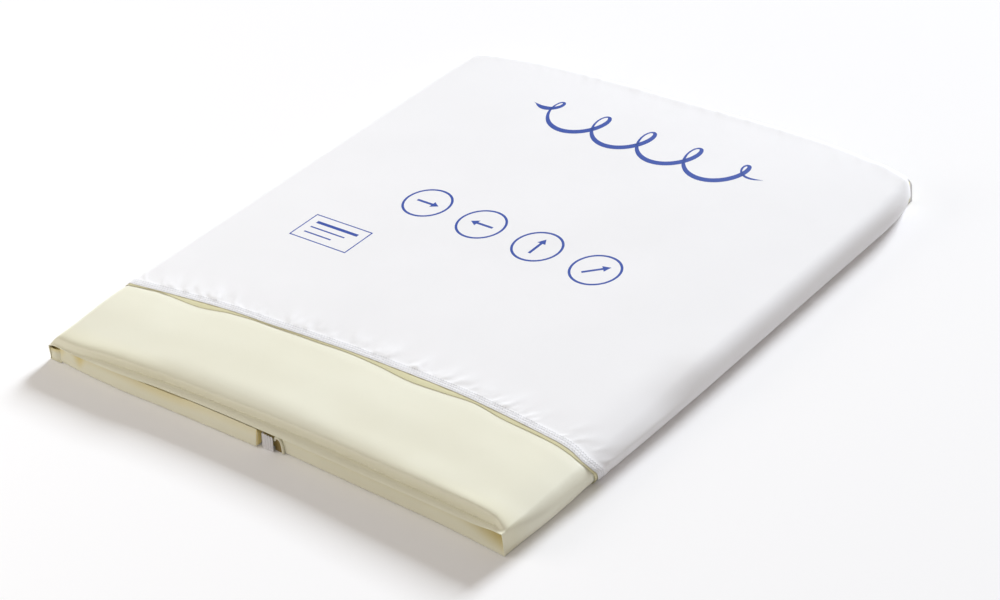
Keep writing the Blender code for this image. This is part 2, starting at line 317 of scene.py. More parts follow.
def fold_point(side, c, y, depth, rise=0.0):
    """A point c metres round a fold, from the top seam to the bottom seam, rise above the cloth's face."""
    if c <= SEAM_INSET:
        x = side * (SEAM_X + c)
        return Vector((x, y, top_height(x, y) - depth + rise))
    sag = floor_sag(y, depth) if depth > MM else 0.0
    if c >= COVER_FOLD:
        x = side * (HINGE_X - (c - COVER_FOLD))
        return Vector((x, y, depth - rise - sag))
    angle = math.pi / 2 - (c - SEAM_INSET) / RADIUS
    radius = RADIUS - depth + rise
    draw, power, corner = fold_draw(side, y)
    sine = math.sin(angle)
    upper, lower = max(0.0, sine), max(0.0, -sine)
    draw += 2.5 * MM * corner**2 * math.sqrt(lower)
    if side < 0:
        draw += 4.2 * MM * upper * fade(y, NEAR_END, 78 * MM) - 1.8 * MM * lower * (1.0 - power)
        power = mix(power, 1.0, 0.75) if sine > 0.0 else power
    across = max(0.2 * MM, radius - draw) * max(0.0, math.cos(angle)) ** power
    up = math.copysign(abs(sine) ** power, sine) * radius
    x = side * (HINGE_X + across)
    if up > 0.0:
        up *= (radius - far_drop(side * HINGE_X, y) - near_drop(side * HINGE_X, y)) / radius
        up -= shoulder_drop(x, y) * sine
    else:
        up += sag * sine
    return Vector((x, y, HINGE_Z + up))


def wing_path(depth, coarse=1.0, seam=SEAM_X):
    """A wing's outer face in X and Z: along the floor, round the free edge and back to its fold.
    Each station is (x, z, length so far)."""
    high = WING_TOP - depth
    radius = 4 * MM - depth
    bend = HALF_GAP + depth + radius
    quarter = [(radius * math.sin(turn), radius * math.cos(turn)) for turn in spread(0.0, math.pi / 2, 5)]
    points = [(x, depth) for x in spread(seam, bend, round(44 / coarse))[:-1]]
    points += [(bend - across, depth + radius - up) for across, up in quarter]
    points += [(bend - across, high - radius + up) for up, across in quarter]
    points += [(x, high) for x in spread(bend, HINGE_X - 0.2 * MM, round(30 / coarse))[1:]]
    stations, length = [], 0.0
    for last, point in zip([points[0], *points], points):
        length += math.dist(last, point)
        stations.append((*point, length))
    return stations


# Mesh building


def cloth_grid(name, columns, rows, place, flip=False, golden_shade=None):
    """A cloth as a grid, whose place(column, row) gives a point. Its UV map is in metres of cloth, and
    the last function, if given, says how much painted golden shade each point has."""
    shape = bmesh.new()
    bmesh.ops.create_grid(shape, x_segments=len(columns) - 1, y_segments=len(rows) - 1, size=0.5)
    weave = shape.loops.layers.uv.new("cloth")
    # A float attribute with each point's share of painted golden shade.
    warmth = shape.verts.layers.float.new("golden_shade")
    spots = {}
    for corner in shape.verts:
        column = round((corner.co.x + 0.5) * (len(columns) - 1))
        row = round((corner.co.y + 0.5) * (len(rows) - 1))
        spots[corner] = (columns[column], rows[row])
    for face in shape.faces:
        face.smooth = True
        for loop in face.loops:
            loop[weave].uv = spots[loop.vert]
    for edge in shape.edges:
        edge.smooth = not edge.is_boundary
    for corner, (column, row) in spots.items():
        corner.co = place(column, row)
        corner[warmth] = golden_shade(column, row) if golden_shade else 0.0
    if flip:
        bmesh.ops.reverse_faces(shape, faces=shape.faces)
    return finish_bmesh(shape, name)


def finish_bmesh(shape, name):
    """Turns a bmesh into a mesh."""
    mesh = bpy.data.meshes.new(name)
    shape.to_mesh(mesh)
    shape.free()
    return mesh


def add_piece(name, mesh, finish, smooth=None):
    """Links a finished mesh as one object at the origin, smooth up to an angle if one is given."""
    piece = bpy.data.objects.new(name, mesh)
    bpy.context.scene.collection.objects.link(piece)
    mesh.materials.append(FINISH[finish])
    if smooth:
        mesh.shade_smooth()
        mesh.set_sharp_from_angle(angle=math.radians(smooth))
    return piece


def thicken(piece, thickness):
    """Thickens a cloth inwards, under the face that its mesh gives."""
    wall = piece.modifiers.new("cloth_thickness", "SOLIDIFY")
    wall.thickness = thickness
    wall.offset = -1.0
    wall.use_even_offset = False
    return piece


def add_cloth(name, finish, thickness, columns, rows, place, flip=False, golden_shade=None):
    """Makes and links a cloth of the given thickness."""
    return thicken(add_piece(name, cloth_grid(name, columns, rows, place, flip, golden_shade), finish), thickness)


def stitch_row(shape, points, normals, size):
    """Adds a small bead of thread at each point, along the row. Its size is length, width, height."""
    scale = Matrix.Diagonal((*(measure / 2 for measure in size), 1.0))
    for index, (point, normal) in enumerate(zip(points, normals)):
        ahead = points[min(index + 1, len(points) - 1)]
        behind = points[max(index - 1, 0)]
        along = (ahead - behind).normalized()
        across = normal.cross(along).normalized()
        turn = Matrix((along, across, along.cross(across).normalized())).transposed().to_4x4()
        place = Matrix.Translation(point) @ turn @ scale
        bmesh.ops.create_icosphere(shape, subdivisions=1, radius=1.0, matrix=place)


def fold_blend(piece, side, depth, narrow=False):
    """Bakes a fold's piece's place into its mesh. Where a bend between the centre panel and its wing would
    start and end is worked out, but nothing bends the piece.
    """
    half = 2.4 * MM if narrow else (RADIUS - depth) * 0.93
    x = side * HINGE_X
    start, end = (x, 0.0, HINGE_Z + half), (x, 0.0, HINGE_Z - half)
    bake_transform(piece)
    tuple(start)
    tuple(end)


def declare(piece, layer, body, flat, rests_on, nodes=(), fold=0, narrow=False, held="stretched", **cut):
    """Attaches a cloth to the body it moves with, or round a fold only bakes its place into its mesh, and
    hides the nodes it stands for. What it is cut to and what it lies on are not used.
    """
    if fold:
        fold_blend(piece, fold, DEPTH[layer], narrow)
    else:
        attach(piece, body)
    if nodes:
        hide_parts(*nodes)


# Materials


def feed(tree, socket, value):
    """Links a socket to its source, or sets its plain value."""
    if isinstance(value, bpy.types.NodeSocket):
        tree.links.new(value, socket)
    else:
        socket.default_value = value


def add_node(tree, kind, output, settings=None, **inputs):
    """Adds a node with its settings and inputs, and returns the output named."""
    node = tree.nodes.new(f"ShaderNode{kind}")
    for name, value in (settings or {}).items():
        setattr(node, name, value)
    for label, value in inputs.items():
        feed(tree, node.inputs[label.replace("_", " ")], value)
    return node.outputs[output]


def math_node(tree, operation, *values):
    """A Math node fed by sockets or plain numbers."""
    node = tree.nodes.new("ShaderNodeMath")
    node.operation = operation
    for socket, value in zip(node.inputs, values):
        feed(tree, socket, value)
    return node.outputs[0]


def noise_node(tree, vector, scale, detail=2.0, roughness=0.5):
    """A Noise Texture's height."""
    return add_node(tree, "TexNoise", "Fac", Vector=vector, Scale=scale, Detail=detail, Roughness=roughness)


def stretched(tree, value, low, high, to_low, to_high):
    """Maps a value's range onto another."""
    return add_node(
        tree, "MapRange", "Result", Value=value, From_Min=low, From_Max=high, To_Min=to_low, To_Max=to_high
    )


def separated(tree, vector):
    """The X, Y and Z of a vector."""
    node = tree.nodes.new("ShaderNodeSeparateXYZ")
    tree.links.new(vector, node.inputs[0])
    return node.outputs


def shared_effect(name, build, **inputs):
    """A node group fed by a vector and numbers, whose outputs are the sockets that build gives."""
    group = bpy.data.node_groups.new(name, "ShaderNodeTree")
    group.interface.new_socket(name="Vector", in_out="INPUT", socket_type="NodeSocketVector")
    for label, value in inputs.items():
        label = label.replace("_", " ")
        number = group.interface.new_socket(name=label, in_out="INPUT", socket_type="NodeSocketFloat")
        number.default_value = value
    results = build(group, group.nodes.new("NodeGroupInput").outputs)
    for label in results:
        group.interface.new_socket(name=label, in_out="OUTPUT", socket_type="NodeSocketFloat")
    made = group.nodes.new("NodeGroupOutput")
    for label, socket in results.items():
        group.links.new(socket, made.inputs[label])
    return group


def plain_weave(tree, given):
    """Over-and-under threads on a cloth's own UV map, with slubs that vary from thread to thread."""
    parts = separated(tree, given["Vector"])
    turns = math_node(tree, "MULTIPLY", given["Threads per Metre"], math.pi)
    warp, weft = (math_node(tree, "SINE", math_node(tree, "MULTIPLY", parts[axis], turns)) for axis in "XY")
    over = math_node(tree, "MULTIPLY", warp, weft)
    slub = noise_node(tree, given["Vector"], 900.0, 2.0, 0.6)
    height = math_node(tree, "MULTIPLY_ADD", over, 0.35, slub)
    return {"Height": height, "Shade": math_node(tree, "MULTIPLY_ADD", over, 0.5, 0.5)}


def soft_creases(tree, given):
    """Broad soft dents and a few finer creases, as cloth keeps from being folded and washed."""
    dents = add_node(tree, "TexNoise", "Fac", Vector=given["Vector"], Scale=given["Dent Size"], Detail=2.0)
    creases = add_node(
        tree, "TexNoise", "Fac", {"noise_type": "RIDGED_MULTIFRACTAL"}, Vector=given["Vector"],
        Scale=given["Crease Size"], Detail=2.0, Roughness=0.4,
    )
    fine = math_node(tree, "MULTIPLY", creases, given["Crease Share"])
    return {"Height": math_node(tree, "ADD", dents, fine), "Mask": dents}


def cell_grain(tree, given):
    """Closed foam cells or a fine moulded grain."""
    smooth = {"feature": "SMOOTH_F1"}
    scale = given["Cells per Metre"]
    return {"Height": add_node(tree, "TexVoronoi", "Distance", smooth, Vector=given["Vector"], Scale=scale)}


def needle_holes(tree, given):
    """Staggered rows of needle holes along both hems of a cloth whose UV map is in metres."""
    parts = separated(tree, given["Vector"])
    other_end = math_node(tree, "SUBTRACT", given["Cloth Length"], parts["Y"])
    inward = math_node(tree, "MINIMUM", parts["Y"], other_end)
    first, gap = STITCH_ROWS[0], STITCH_ROWS[1] - STITCH_ROWS[0]
    place = math_node(tree, "DIVIDE", math_node(tree, "SUBTRACT", inward, first), gap)
    row = math_node(tree, "MAXIMUM", math_node(tree, "ROUND", place), 0.0)
    row = math_node(tree, "MINIMUM", row, len(STITCH_ROWS) - 1.0)
    along = math_node(tree, "DIVIDE", parts["X"], given["Pitch"])
    beat = math_node(tree, "MULTIPLY_ADD", row, 0.5, along)
    off_beat = math_node(tree, "SUBTRACT", beat, math_node(tree, "ROUND", beat))
    off_beat = math_node(tree, "MULTIPLY", off_beat, given["Pitch"])
    off_row = math_node(tree, "MULTIPLY", math_node(tree, "SUBTRACT", place, row), gap)
    squared = math_node(tree, "MULTIPLY", off_row, off_row)
    away = math_node(tree, "SQRT", math_node(tree, "MULTIPLY_ADD", off_beat, off_beat, squared))
    past = math_node(tree, "SUBTRACT", given["Band"], inward)
    return {
        "Holes": stretched(tree, away, 0.35 * MM, 0.85 * MM, 1.0, 0.0),
        "Hem": stretched(tree, past, -0.5 * MM, 1.5 * MM, 0.0, 1.0),
    }


def place_group(tree, name, vector, **values):
    """Places a shared effect in a material, with this material's own values, and returns its outputs."""
    node = tree.nodes.new("ShaderNodeGroup")
    node.node_tree = GROUPS[name]
    tree.links.new(vector, node.inputs["Vector"])
    for label, value in values.items():
        node.inputs[label.replace("_", " ")].default_value = value
    return node.outputs


def colour_between(tree, share, low, high, blend="MIX"):
    """A colour that goes with a share from low, which may be a socket, to high or to low times high."""
    low = low if isinstance(low, bpy.types.NodeSocket) else (*low, 1.0)
    settings = {"data_type": "RGBA", "blend_type": blend}
    return add_node(tree, "Mix", "Result", settings, A=low, B=(*high, 1.0), Factor=share)


def bumped(tree, shader, heights):
    """A chain of Bump nodes, coarse first: each item is (height socket, distance in metres, strength)."""
    chain = {}
    for height, distance, strength in heights:
        chain.update(Distance=distance, Strength=strength, Height=height)
        normal = add_node(tree, "Bump", "Normal", **chain)
        chain = {"Normal": normal}
    tree.links.new(normal, shader.inputs["Normal"])


def tinted(colour, factor, warmth=0.0):
    """A colour made lighter or darker, and warmer."""
    shares = (1.0, 1.0 - warmth * 0.3, 1.0 - warmth)
    return tuple(min(1.0, value * factor * share) for value, share in zip(colour, shares))


def new_material(name):
    """An empty material, its node tree, its shader and its coordinates."""
    material = bpy.data.materials.new(name)
    material.use_nodes = True
    tree = material.node_tree
    return material, tree, tree.nodes["Principled BSDF"], tree.nodes.new("ShaderNodeTexCoord").outputs


def cloth_material(
    name, colour, roughness, sheen, threads, weave_depth, dent, dark, warmth=0.0, detail=None
):
    """A woven cloth: broad dents, fine creases, a weave and slight unevenness of colour and gloss, then
    what detail(tree, coordinates, colour) adds to its colour and its bumps."""
    material, tree, shader, places = new_material(name)
    for label, value in (("Sheen Weight", sheen), ("Sheen Roughness", 0.45), ("Specular IOR Level", 0.35)):
        shader.inputs[label].default_value = value
    creases = place_group(tree, "creases", places["Object"], Dent_Size=14.0, Crease_Size=46.0)
    weave = place_group(tree, "weave", places["UV"], Threads_per_Metre=threads)
    uneven = stretched(tree, creases["Mask"], 0.3, 0.7, 0.0, 1.0)
    tone = colour_between(tree, uneven, tinted(colour, 1.0 - dark, warmth), colour)
    tone = colour_between(tree, weave["Shade"], tone, (0.965, 0.965, 0.965), "MULTIPLY")
    tone, bumps = detail(tree, places, tone) if detail else (tone, [])
    tree.links.new(tone, shader.inputs["Base Color"])
    gloss = stretched(tree, creases["Height"], 0.3, 0.9, roughness - 0.05, roughness + 0.05)
    tree.links.new(gloss, shader.inputs["Roughness"])
    heights = [(creases["Height"], dent, 0.6), *bumps, (weave["Height"], weave_depth, 0.5)]
    bumped(tree, shader, heights)
    return material


def hem_detail(tree, places, tone):
    """The sleeve's stitched hems: rows of needle holes painted darker as the shade in them, in a puffy band
    painted with mottled grey shade where its puffs lie low.
    """
    sizes = bpy.context.scene.transfer_board_sizes
    measures = {"Cloth_Length": SLEEVE_LENGTH, "Pitch": sizes.stitch_pitch, "Band": sizes.hem_band}
    hem = place_group(tree, "holes", places["UV"], **measures)
    mottle = noise_node(tree, places["UV"], 330.0, 2.0, 0.6)
    # Painted shade in the needle holes.
    pricked = math_node(tree, "MULTIPLY", hem["Holes"], stretched(tree, mottle, 0.35, 0.65, 0.35, 1.0))
    tone = colour_between(tree, pricked, tone, (0.76, 0.77, 0.79), "MULTIPLY")
    # Painted shade across the hem band, most where its puffs lie low.
    shaded = math_node(tree, "MULTIPLY", hem["Hem"], stretched(tree, mottle, 0.4, 0.7, 1.0, 0.2))
    tone = colour_between(tree, shaded, tone, (0.955, 0.96, 0.975), "MULTIPLY")
    puffs = math_node(tree, "MULTIPLY", hem["Hem"], mottle)
    return tone, [(math_node(tree, "MULTIPLY_ADD", pricked, -0.8, puffs), 0.3 * MM, 0.7)]


def cover_detail(tree, places, tone):
    """The slippery cream cloth, with painted warm shade on its step at the near end, and painted golden
    shade where the cloth stands in shade in mouths, pockets and gaps.
    """
    along = separated(tree, places["Object"])["Y"]
    # Painted warm shade on the step and lip at the near end, where light bounces between the cream cloths.
    near_end_shade = stretched(tree, along, NEAR_END + 26 * MM, NEAR_END + 10 * MM, 0.0, 1.0)
    tone = colour_between(tree, near_end_shade, tone, (0.99, 0.98, 0.93), "MULTIPLY")
    # Painted golden shade: the light that glows through and between the cream cloths where they stand in
    # shade.
    golden_shade = add_node(tree, "Attribute", "Fac", {"attribute_name": "golden_shade"})
    return colour_between(tree, golden_shade, tone, (0.80, 0.66, 0.27)), []


def grained_material(name, colour, roughness, cells, depth, dark):
    """Foam or plastic with a fine grain and slightly uneven colour."""
    material, tree, shader, places = new_material(name)
    grain = place_group(tree, "grain", places["Object"], Cells_per_Metre=cells)
    patches = noise_node(tree, places["Object"], 22.0, 4.0, 0.6)
    uneven = stretched(tree, patches, 0.3, 0.7, 0.0, 1.0)
    tone = colour_between(tree, uneven, tinted(colour, 1.0 - dark), colour)
    tree.links.new(tone, shader.inputs["Base Color"])
    gloss = stretched(tree, patches, 0.3, 0.7, roughness - 0.06, roughness + 0.06)
    tree.links.new(gloss, shader.inputs["Roughness"])
    bumped(tree, shader, [(patches, 0.3 * MM, 0.3), (grain["Height"], depth, 0.5)])
    return material


def thread_material(name, colour):
    """Twisted sewing thread."""
    material, tree, shader, places = new_material(name)
    shader.inputs["Sheen Weight"].default_value = 0.4
    fuzz = noise_node(tree, places["Object"], 2500.0, 2.0, 0.7)
    tree.links.new(colour_between(tree, fuzz, tinted(colour, 0.9), colour), shader.inputs["Base Color"])
    tree.links.new(stretched(tree, fuzz, 0.3, 0.7, 0.55, 0.8), shader.inputs["Roughness"])
    bumped(tree, shader, [(fuzz, 0.06 * MM, 0.6)])
    return material


def ink_material(colour):
    """Screen print on cloth: the ink thins a little over the threads."""
    material, tree, shader, places = new_material("blue_print")
    worn = noise_node(tree, places["Object"], 700.0, 3.0, 0.6)
    share = stretched(tree, worn, 0.35, 0.75, 0.0, 0.3)
    tree.links.new(colour_between(tree, share, colour, tinted(colour, 1.6)), shader.inputs["Base Color"])
    tree.links.new(stretched(tree, worn, 0.3, 0.7, 0.5, 0.62), shader.inputs["Roughness"])
    bumped(tree, shader, [(worn, 0.08 * MM, 0.4)])
    return material


def floor_material():
    """A pale floor, lifted to the photo's white for what the camera sees, so that it keeps its shadow."""
    material = bpy.data.materials.new("pale_floor")
    material.use_nodes = True
    tree = material.node_tree
    shader = tree.nodes["Principled BSDF"]
    shader.inputs["Base Color"].default_value = (0.92, 0.905, 0.905, 1.0)
    shader.inputs["Roughness"].default_value = 0.85
    path = tree.nodes.new("ShaderNodeLightPath").outputs
    seen = math_node(tree, "MAXIMUM", path["Is Camera Ray"], path["Is Glossy Ray"])
    seen = math_node(tree, "MAXIMUM", seen, path["Is Transmission Ray"])
    strength = math_node(tree, "MULTIPLY", seen, 0.05)
    glow = add_node(tree, "Emission", "Emission", Color=(1.0, 1.0, 1.0, 1.0), Strength=strength)
    both = tree.nodes.new("ShaderNodeAddShader")
    tree.links.new(shader.outputs["BSDF"], both.inputs[0])
    tree.links.new(glow, both.inputs[1])
    tree.links.new(both.outputs["Shader"], tree.nodes["Material Output"].inputs["Surface"])
    return material


GROUPS = {}
FINISH = {}


def build_finishes():
    """Makes the shared effects and every material once."""
    if FINISH:
        return
    given = bpy.context.scene.transfer_board_colours
    sleeve, lining, cover = given.sleeve[:], given.lining[:], given.cover[:]
    GROUPS["weave"] = shared_effect("plain_weave", plain_weave, Threads_per_Metre=2000.0)
    GROUPS["creases"] = shared_effect(
        "soft_creases", soft_creases, Dent_Size=18.0, Crease_Size=60.0, Crease_Share=0.25
    )
    GROUPS["grain"] = shared_effect("cell_grain", cell_grain, Cells_per_Metre=900.0)
    GROUPS["holes"] = shared_effect(
        "needle_holes", needle_holes, Cloth_Length=0.46, Pitch=2.6 * MM, Band=7.5 * MM
    )
    FINISH["sleeve"] = cloth_material(
        "white_sleeve_cloth", sleeve, roughness=0.72, sheen=0.25, threads=2300.0, weave_depth=0.08 * MM,
        dent=0.5 * MM, dark=0.015, detail=hem_detail,
    )
    FINISH["lining"] = cloth_material(
        "yellow_lining_cloth", lining, roughness=0.42, sheen=0.15, threads=3200.0, weave_depth=0.04 * MM,
        dent=0.5 * MM, dark=0.05, warmth=0.08,
    )
    FINISH["cover"] = cloth_material(
        "cream_cover_cloth", cover, roughness=0.46, sheen=0.12, threads=3000.0, weave_depth=0.04 * MM,
        dent=0.55 * MM, dark=0.02, warmth=0.02, detail=cover_detail,
    )
    FINISH["tab"] = cloth_material(
        "white_tab_cloth", sleeve, roughness=0.75, sheen=0.3, threads=2300.0, weave_depth=0.1 * MM,
        dent=0.35 * MM, dark=0.03,
    )
    # A cover cloth painted dark brown, as the shade inside the tunnel's mouth.
    FINISH["hollow"] = cloth_material(
        "cover_cloth_painted_dark_shade", (0.30, 0.21, 0.06), roughness=0.6, sheen=0.1, threads=3000.0,
        weave_depth=0.04 * MM, dent=0.5 * MM, dark=0.1,
    )
    FINISH["thread"] = thread_material("white_hem_thread", given.thread[:])
    FINISH["cover_thread"] = thread_material("cream_edge_thread", tinted(cover, 0.93, 0.1))
    FINISH["ink"] = ink_material(given.ink[:])
    FINISH["foam"] = grained_material(
        "grey_foam", given.foam[:], roughness=0.88, cells=1400.0, depth=0.25 * MM, dark=0.08
    )
    FINISH["sheet"] = grained_material(
        "white_plastic_sheet", given.sheet[:], roughness=0.42, cells=2600.0, depth=0.05 * MM, dark=0.03
    )
    FINISH["floor"] = floor_material()


# What a user would change


def colour_choice(name, description, default):
    """A colour that can be set in the panel."""
    return bpy.props.FloatVectorProperty(
        name=name, description=description, default=default, subtype="COLOR", size=3
    )


def length_choice(name, description, default):
    """A length that can be set in the panel, from millimetres."""
    return bpy.props.FloatProperty(name=name, description=description, default=default * MM, unit="LENGTH")


class TransferBoardColours(bpy.types.PropertyGroup):
    """Colours of the cloths, threads and core."""

    sleeve: colour_choice("Sleeve", "White outer sleeve", (0.915, 0.9, 0.908))
    lining: colour_choice("Lining", "Slippery lining of the sleeve", (0.74, 0.70, 0.44))
    cover: colour_choice("Cover", "Cream inner cover", (0.905, 0.885, 0.735))
    thread: colour_choice("Thread", "Hem thread", (0.86, 0.86, 0.86))
    ink: colour_choice("Print", "Blue print on the sleeve", (0.02, 0.065, 0.36))
    foam: colour_choice("Foam", "Closed-cell foam", (0.36, 0.37, 0.38))
    sheet: colour_choice("Stiff sheet", "Plastic sheet in each panel", (0.72, 0.74, 0.75))


class TransferBoardSizes(bpy.types.PropertyGroup):
    """Sizes of the sewn details."""

    hem_band: length_choice("Hem band", "Width of the stitched hem", 7.5)
    hem_height: length_choice("Hem height", "How far the hem stands proud", 0.1)
    gather: length_choice("Gather height", "Height of the gathers behind the hem", 1.9)
    gather_run: length_choice("Gather run", "How far the gathers run into the cloth", 17)
    stitch_pitch: length_choice("Stitch pitch", "Distance between stitches", 2.6)


# Hem shape


def gather_relief(u, d):
    """Height of the gathers at u round the sleeve and d behind a hem's edge. They fan out a little."""
    sizes = bpy.context.scene.transfer_board_sizes
    past = max(0.0, d - sizes.hem_band)
    fan_rate, fan_reach, lean = 2.9, 0.24, 0.16
    s = u - d * (fan_rate * min(fan_reach, max(-fan_reach, u)) - lean)
    long_fade, short_fade = (math.exp(-((past / run) ** 2)) for run in (sizes.gather_run, 9 * MM))
    long_fold = ripple(s, d * 0.3, 10 * MM, 11.3) * long_fade
    short_fold = ripple(s, d * 0.4, 5 * MM, 4.9) * short_fade
    height = 0.12 * long_fade + long_fold + 0.5 * short_fold
    ridges = (height + math.sqrt(height * height + 0.01)) / 2 - 0.13 * long_fade
    patch = 0.65 + 0.35 * ripple(u, 0.0, 60 * MM, 8.2)
    return sizes.gather * patch * ridges


def hem_relief(u, d):
    """Height of a hem and its gathers over the flat cloth: a soft quilted band whose edge curls down."""
    sizes = bpy.context.scene.transfer_board_sizes
    gathers = gather_relief(u, d)
    soft, quilt, curl = 3 * MM, 0.14 * MM, 0.05 * MM
    if d > sizes.hem_band + soft:
        return gathers
    edge = s_curve(d, 0.0, 0.9 * MM)
    rise = edge * fade(d, sizes.hem_band - soft, 2 * soft)
    band = sizes.hem_height + quilt * ripple(u, d, 2.6 * MM, 2.1)
    return band * rise - curl * (1.0 - edge) + gathers * mix(0.1, 1.0, s_curve(d, 4 * MM, 6 * MM))


def sleeve_rows():
    """Stations along the sleeve, closest together at its two hems."""
    near = spread(0.0, 9.6 * MM, 16)[:-1]
    near += [step * MM for step in (9.6, 10.7, 12.1, 13.7, 15.5, 17.5, 20, 23, 27, 32, 38, 46, 56)]
    middle = spread(near[-1], SLEEVE_LENGTH - near[-1], 40)[1:-1]
    return near + middle + [SLEEVE_LENGTH - step for step in reversed(near)]


def sleeve_relief(u, v):
    """Hems and gathers of both ends of the sleeve."""
    if v < SLEEVE_LENGTH / 2:
        return hem_relief(u, v)
    return hem_relief(u + 0.377, SLEEVE_LENGTH - v) * 0.5


def lining_relief(u, v):
    """The lining swells up past the sleeve's edge, in slow waves, and its own edge lies on the cover."""
    past_sleeve = along_table(EDGE["sleeve"], u) - along_table(EDGE["lining"], u) - v
    swell = 0.5 * s_curve(past_sleeve / (1.5 * MM) + 0.87) * (1.0 + 0.1 * ripple(u, 0.0, 24 * MM, 7.7))
    dip = 0.09 * math.exp(-((v / (0.8 * MM)) ** 2))
    return (swell - dip) * MM


RELIEF = {"sleeve": sleeve_relief, "lining": lining_relief}


# The sleeve and the lining


def drawn(layer, line, x, v):
    """Where a station v metres into a cloth lies along Y, for its near line and its rounded far corners."""
    far_line = FAR_END - FAR_MARGIN[layer]
    length = far_line - NEAR_LINE[layer]
    near = (line - NEAR_LINE[layer]) * fade(v, 0.0, NEAR_DRAW_RUN)
    corner = far_edge(x, FAR_MARGIN[layer]) - far_line
    return NEAR_LINE[layer] + v + near + corner * s_curve(v, length - FAR_DRAW_RUN, FAR_DRAW_RUN)


def drawn_round_fold(layer, side, c, v):
    """The same round a fold, where a cloth's near line runs from the top's line to the underside's."""
    inboard = SEAM_X + min(c, SEAM_INSET)
    bulge = (4 * MM if side < 0 else -3 * MM) * math.sin(math.pi * min(1.0, c / FOLD_PATH))
    share = s_curve(c, SEAM_INSET, FOLD_PATH - SEAM_INSET)
    line = mix(along_table(EDGE[layer], side * inboard), NEAR_LINE[layer] - bulge, share)
    return drawn(layer, line, side * (inboard + RADIUS * math.sin(fold_turn(c))), v)


def fold_columns(side, end=FOLD_PATH):
    """Stations round a fold, counted from the middle of the board's top."""
    flat = spread(0.0, SEAM_INSET, 12)[:-1]
    arc = spread(SEAM_INSET, COVER_FOLD, 44)
    under = spread(arc[-1], FOLD_PATH, 6)[1:]
    return [side * (SEAM_X + c) for c in flat + arc + under if c <= end + 0.01 * MM]


def top_point(layer, u, v, rise=0.0):
    """A point of the sleeve or the lining over the centre panel."""
    y = drawn(layer, along_table(EDGE[layer], u), u, v)
    return Vector((u, y, top_height(u, y) - DEPTH[layer] + RELIEF[layer](u, v) + rise))


def round_fold_point(layer, side, u, v, rise=0.0):
    """A point of the sleeve or the lining round a fold."""
    c = abs(u) - SEAM_X
    lift = RELIEF[layer](u, v) * fade(c, SEAM_INSET + ARC_LENGTH * 0.7, ARC_LENGTH * 0.3)
    return fold_point(side, c, drawn_round_fold(layer, side, c, v), DEPTH[layer], lift + rise)


def wing_surface(side, layer, coarse):
    """Columns and a place function for the cloth round a wing, its columns counted on from the fold's."""
    start = SEAM_X + FOLD_PATH
    spots = {side * (start + length): (x, z) for x, z, length in wing_path(DEPTH[layer], coarse)}

    def place(u, v):
        x, z = spots[u]
        if layer == "sleeve":
            lift = max(0.0, sleeve_relief(u, v)) * 0.22
            z += lift if z < WING_TOP / 2 else -lift
        return Vector((side * x, drawn(layer, NEAR_LINE[layer], side * x, v), z))

    return list(spots), place


def add_tube(layer, rows, columns, under):
    """The top, fold and wing pieces of one cloth tube, which lie on the tube under it."""
    length, wall = rows[-1], CLOTH[layer]
    top = add_cloth(f"{layer}_top", layer, wall, columns, rows, lambda u, v: top_point(layer, u, v))
    declare(top, layer, "centre_panel", (2 * SEAM_X, length), f"{under}_top", [f"top_{layer}"])
    for side, word in SIDES:
        part = f"{word}_fold"

        def fold_place(u, v):
            return round_fold_point(layer, side, u, v)

        fold = add_cloth(f"{layer}_{part}", layer, wall, fold_columns(side), rows, fold_place, side < 0)
        declare(fold, layer, None, (FOLD_PATH, length), f"{under}_{part}", [f"{part}_{layer}"], side)
        part = f"{word}_wing"
        columns, place = wing_surface(side, layer, 0.6 if layer == "sleeve" else 1.0)
        wing = add_cloth(f"{layer}_{part}", layer, wall, columns, rows, place, side < 0)
        flat = (abs(columns[-1] - columns[0]), length)
        declare(wing, layer, part, flat, f"{under}_{part}", [f"{part}_{layer}"])
    add_inner_cloth(layer)


def add_inner_cloth(layer):
    """The flat cloth under the centre panel, between it and the wings."""
    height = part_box(f"centre_inner_{layer}")[0].z
    near, far = NEAR_LINE[layer], FAR_END - FAR_MARGIN[layer]

    def place(x, y):
        reach = mix(near, far_edge(x, FAR_MARGIN[layer]), (y - near) / (far - near))
        drop = 0.9 * MM * fade(reach, NEAR_END, 9 * MM) if layer == "cover" else 0.0
        return Vector((x, reach, height - drop + 0.12 * MM * (1.0 + ripple(x, reach, 60 * MM, 5.0))))

    columns, rows = spread(-HINGE_X, HINGE_X, 48), spread(near, far, 60)
    piece = add_cloth(f"{layer}_under_centre", layer, CLOTH[layer] * 0.8, columns, rows, place, True)
    flat = (2 * HINGE_X, far - near)
    declare(piece, layer, "centre_panel", flat, "centre_inner_foam_pad", [f"centre_inner_{layer}"])


class TRANSFERBOARD_OT_sleeve(bpy.types.Operator):
    """Makes the white outer sleeve with its gathered, stitched hems"""

    bl_idname = "transferboard.sleeve"
    bl_label = "Sleeve"

    def execute(self, context):
        add_tube("sleeve", sleeve_rows(), spread(-SEAM_X, SEAM_X, 320), "lining")
        return {"FINISHED"}


class TRANSFERBOARD_OT_lining(bpy.types.Operator):
    """Makes the sleeve's slippery lining, which shows along the hem"""

    bl_idname = "transferboard.lining"
    bl_label = "Lining"

    def execute(self, context):
        length = FAR_END - FAR_MARGIN["lining"] - NEAR_LINE["lining"]
        rows = [step * MM for step in (0, 0.4, 0.9, 1.6, 2.5, 4, 6, 8, 10, 13, 17, 22, 28, 36, 48, 64)]
        rows += spread(rows[-1], length, 40)[1:]
        add_tube("lining", rows, spread(-SEAM_X, SEAM_X, 220), "cover")
        return {"FINISHED"}


def add_thread(shape, name, finish):
    """One object with the thread of some stitches."""
    piece = add_piece(name, finish_bmesh(shape, name), finish, 60)
    return piece


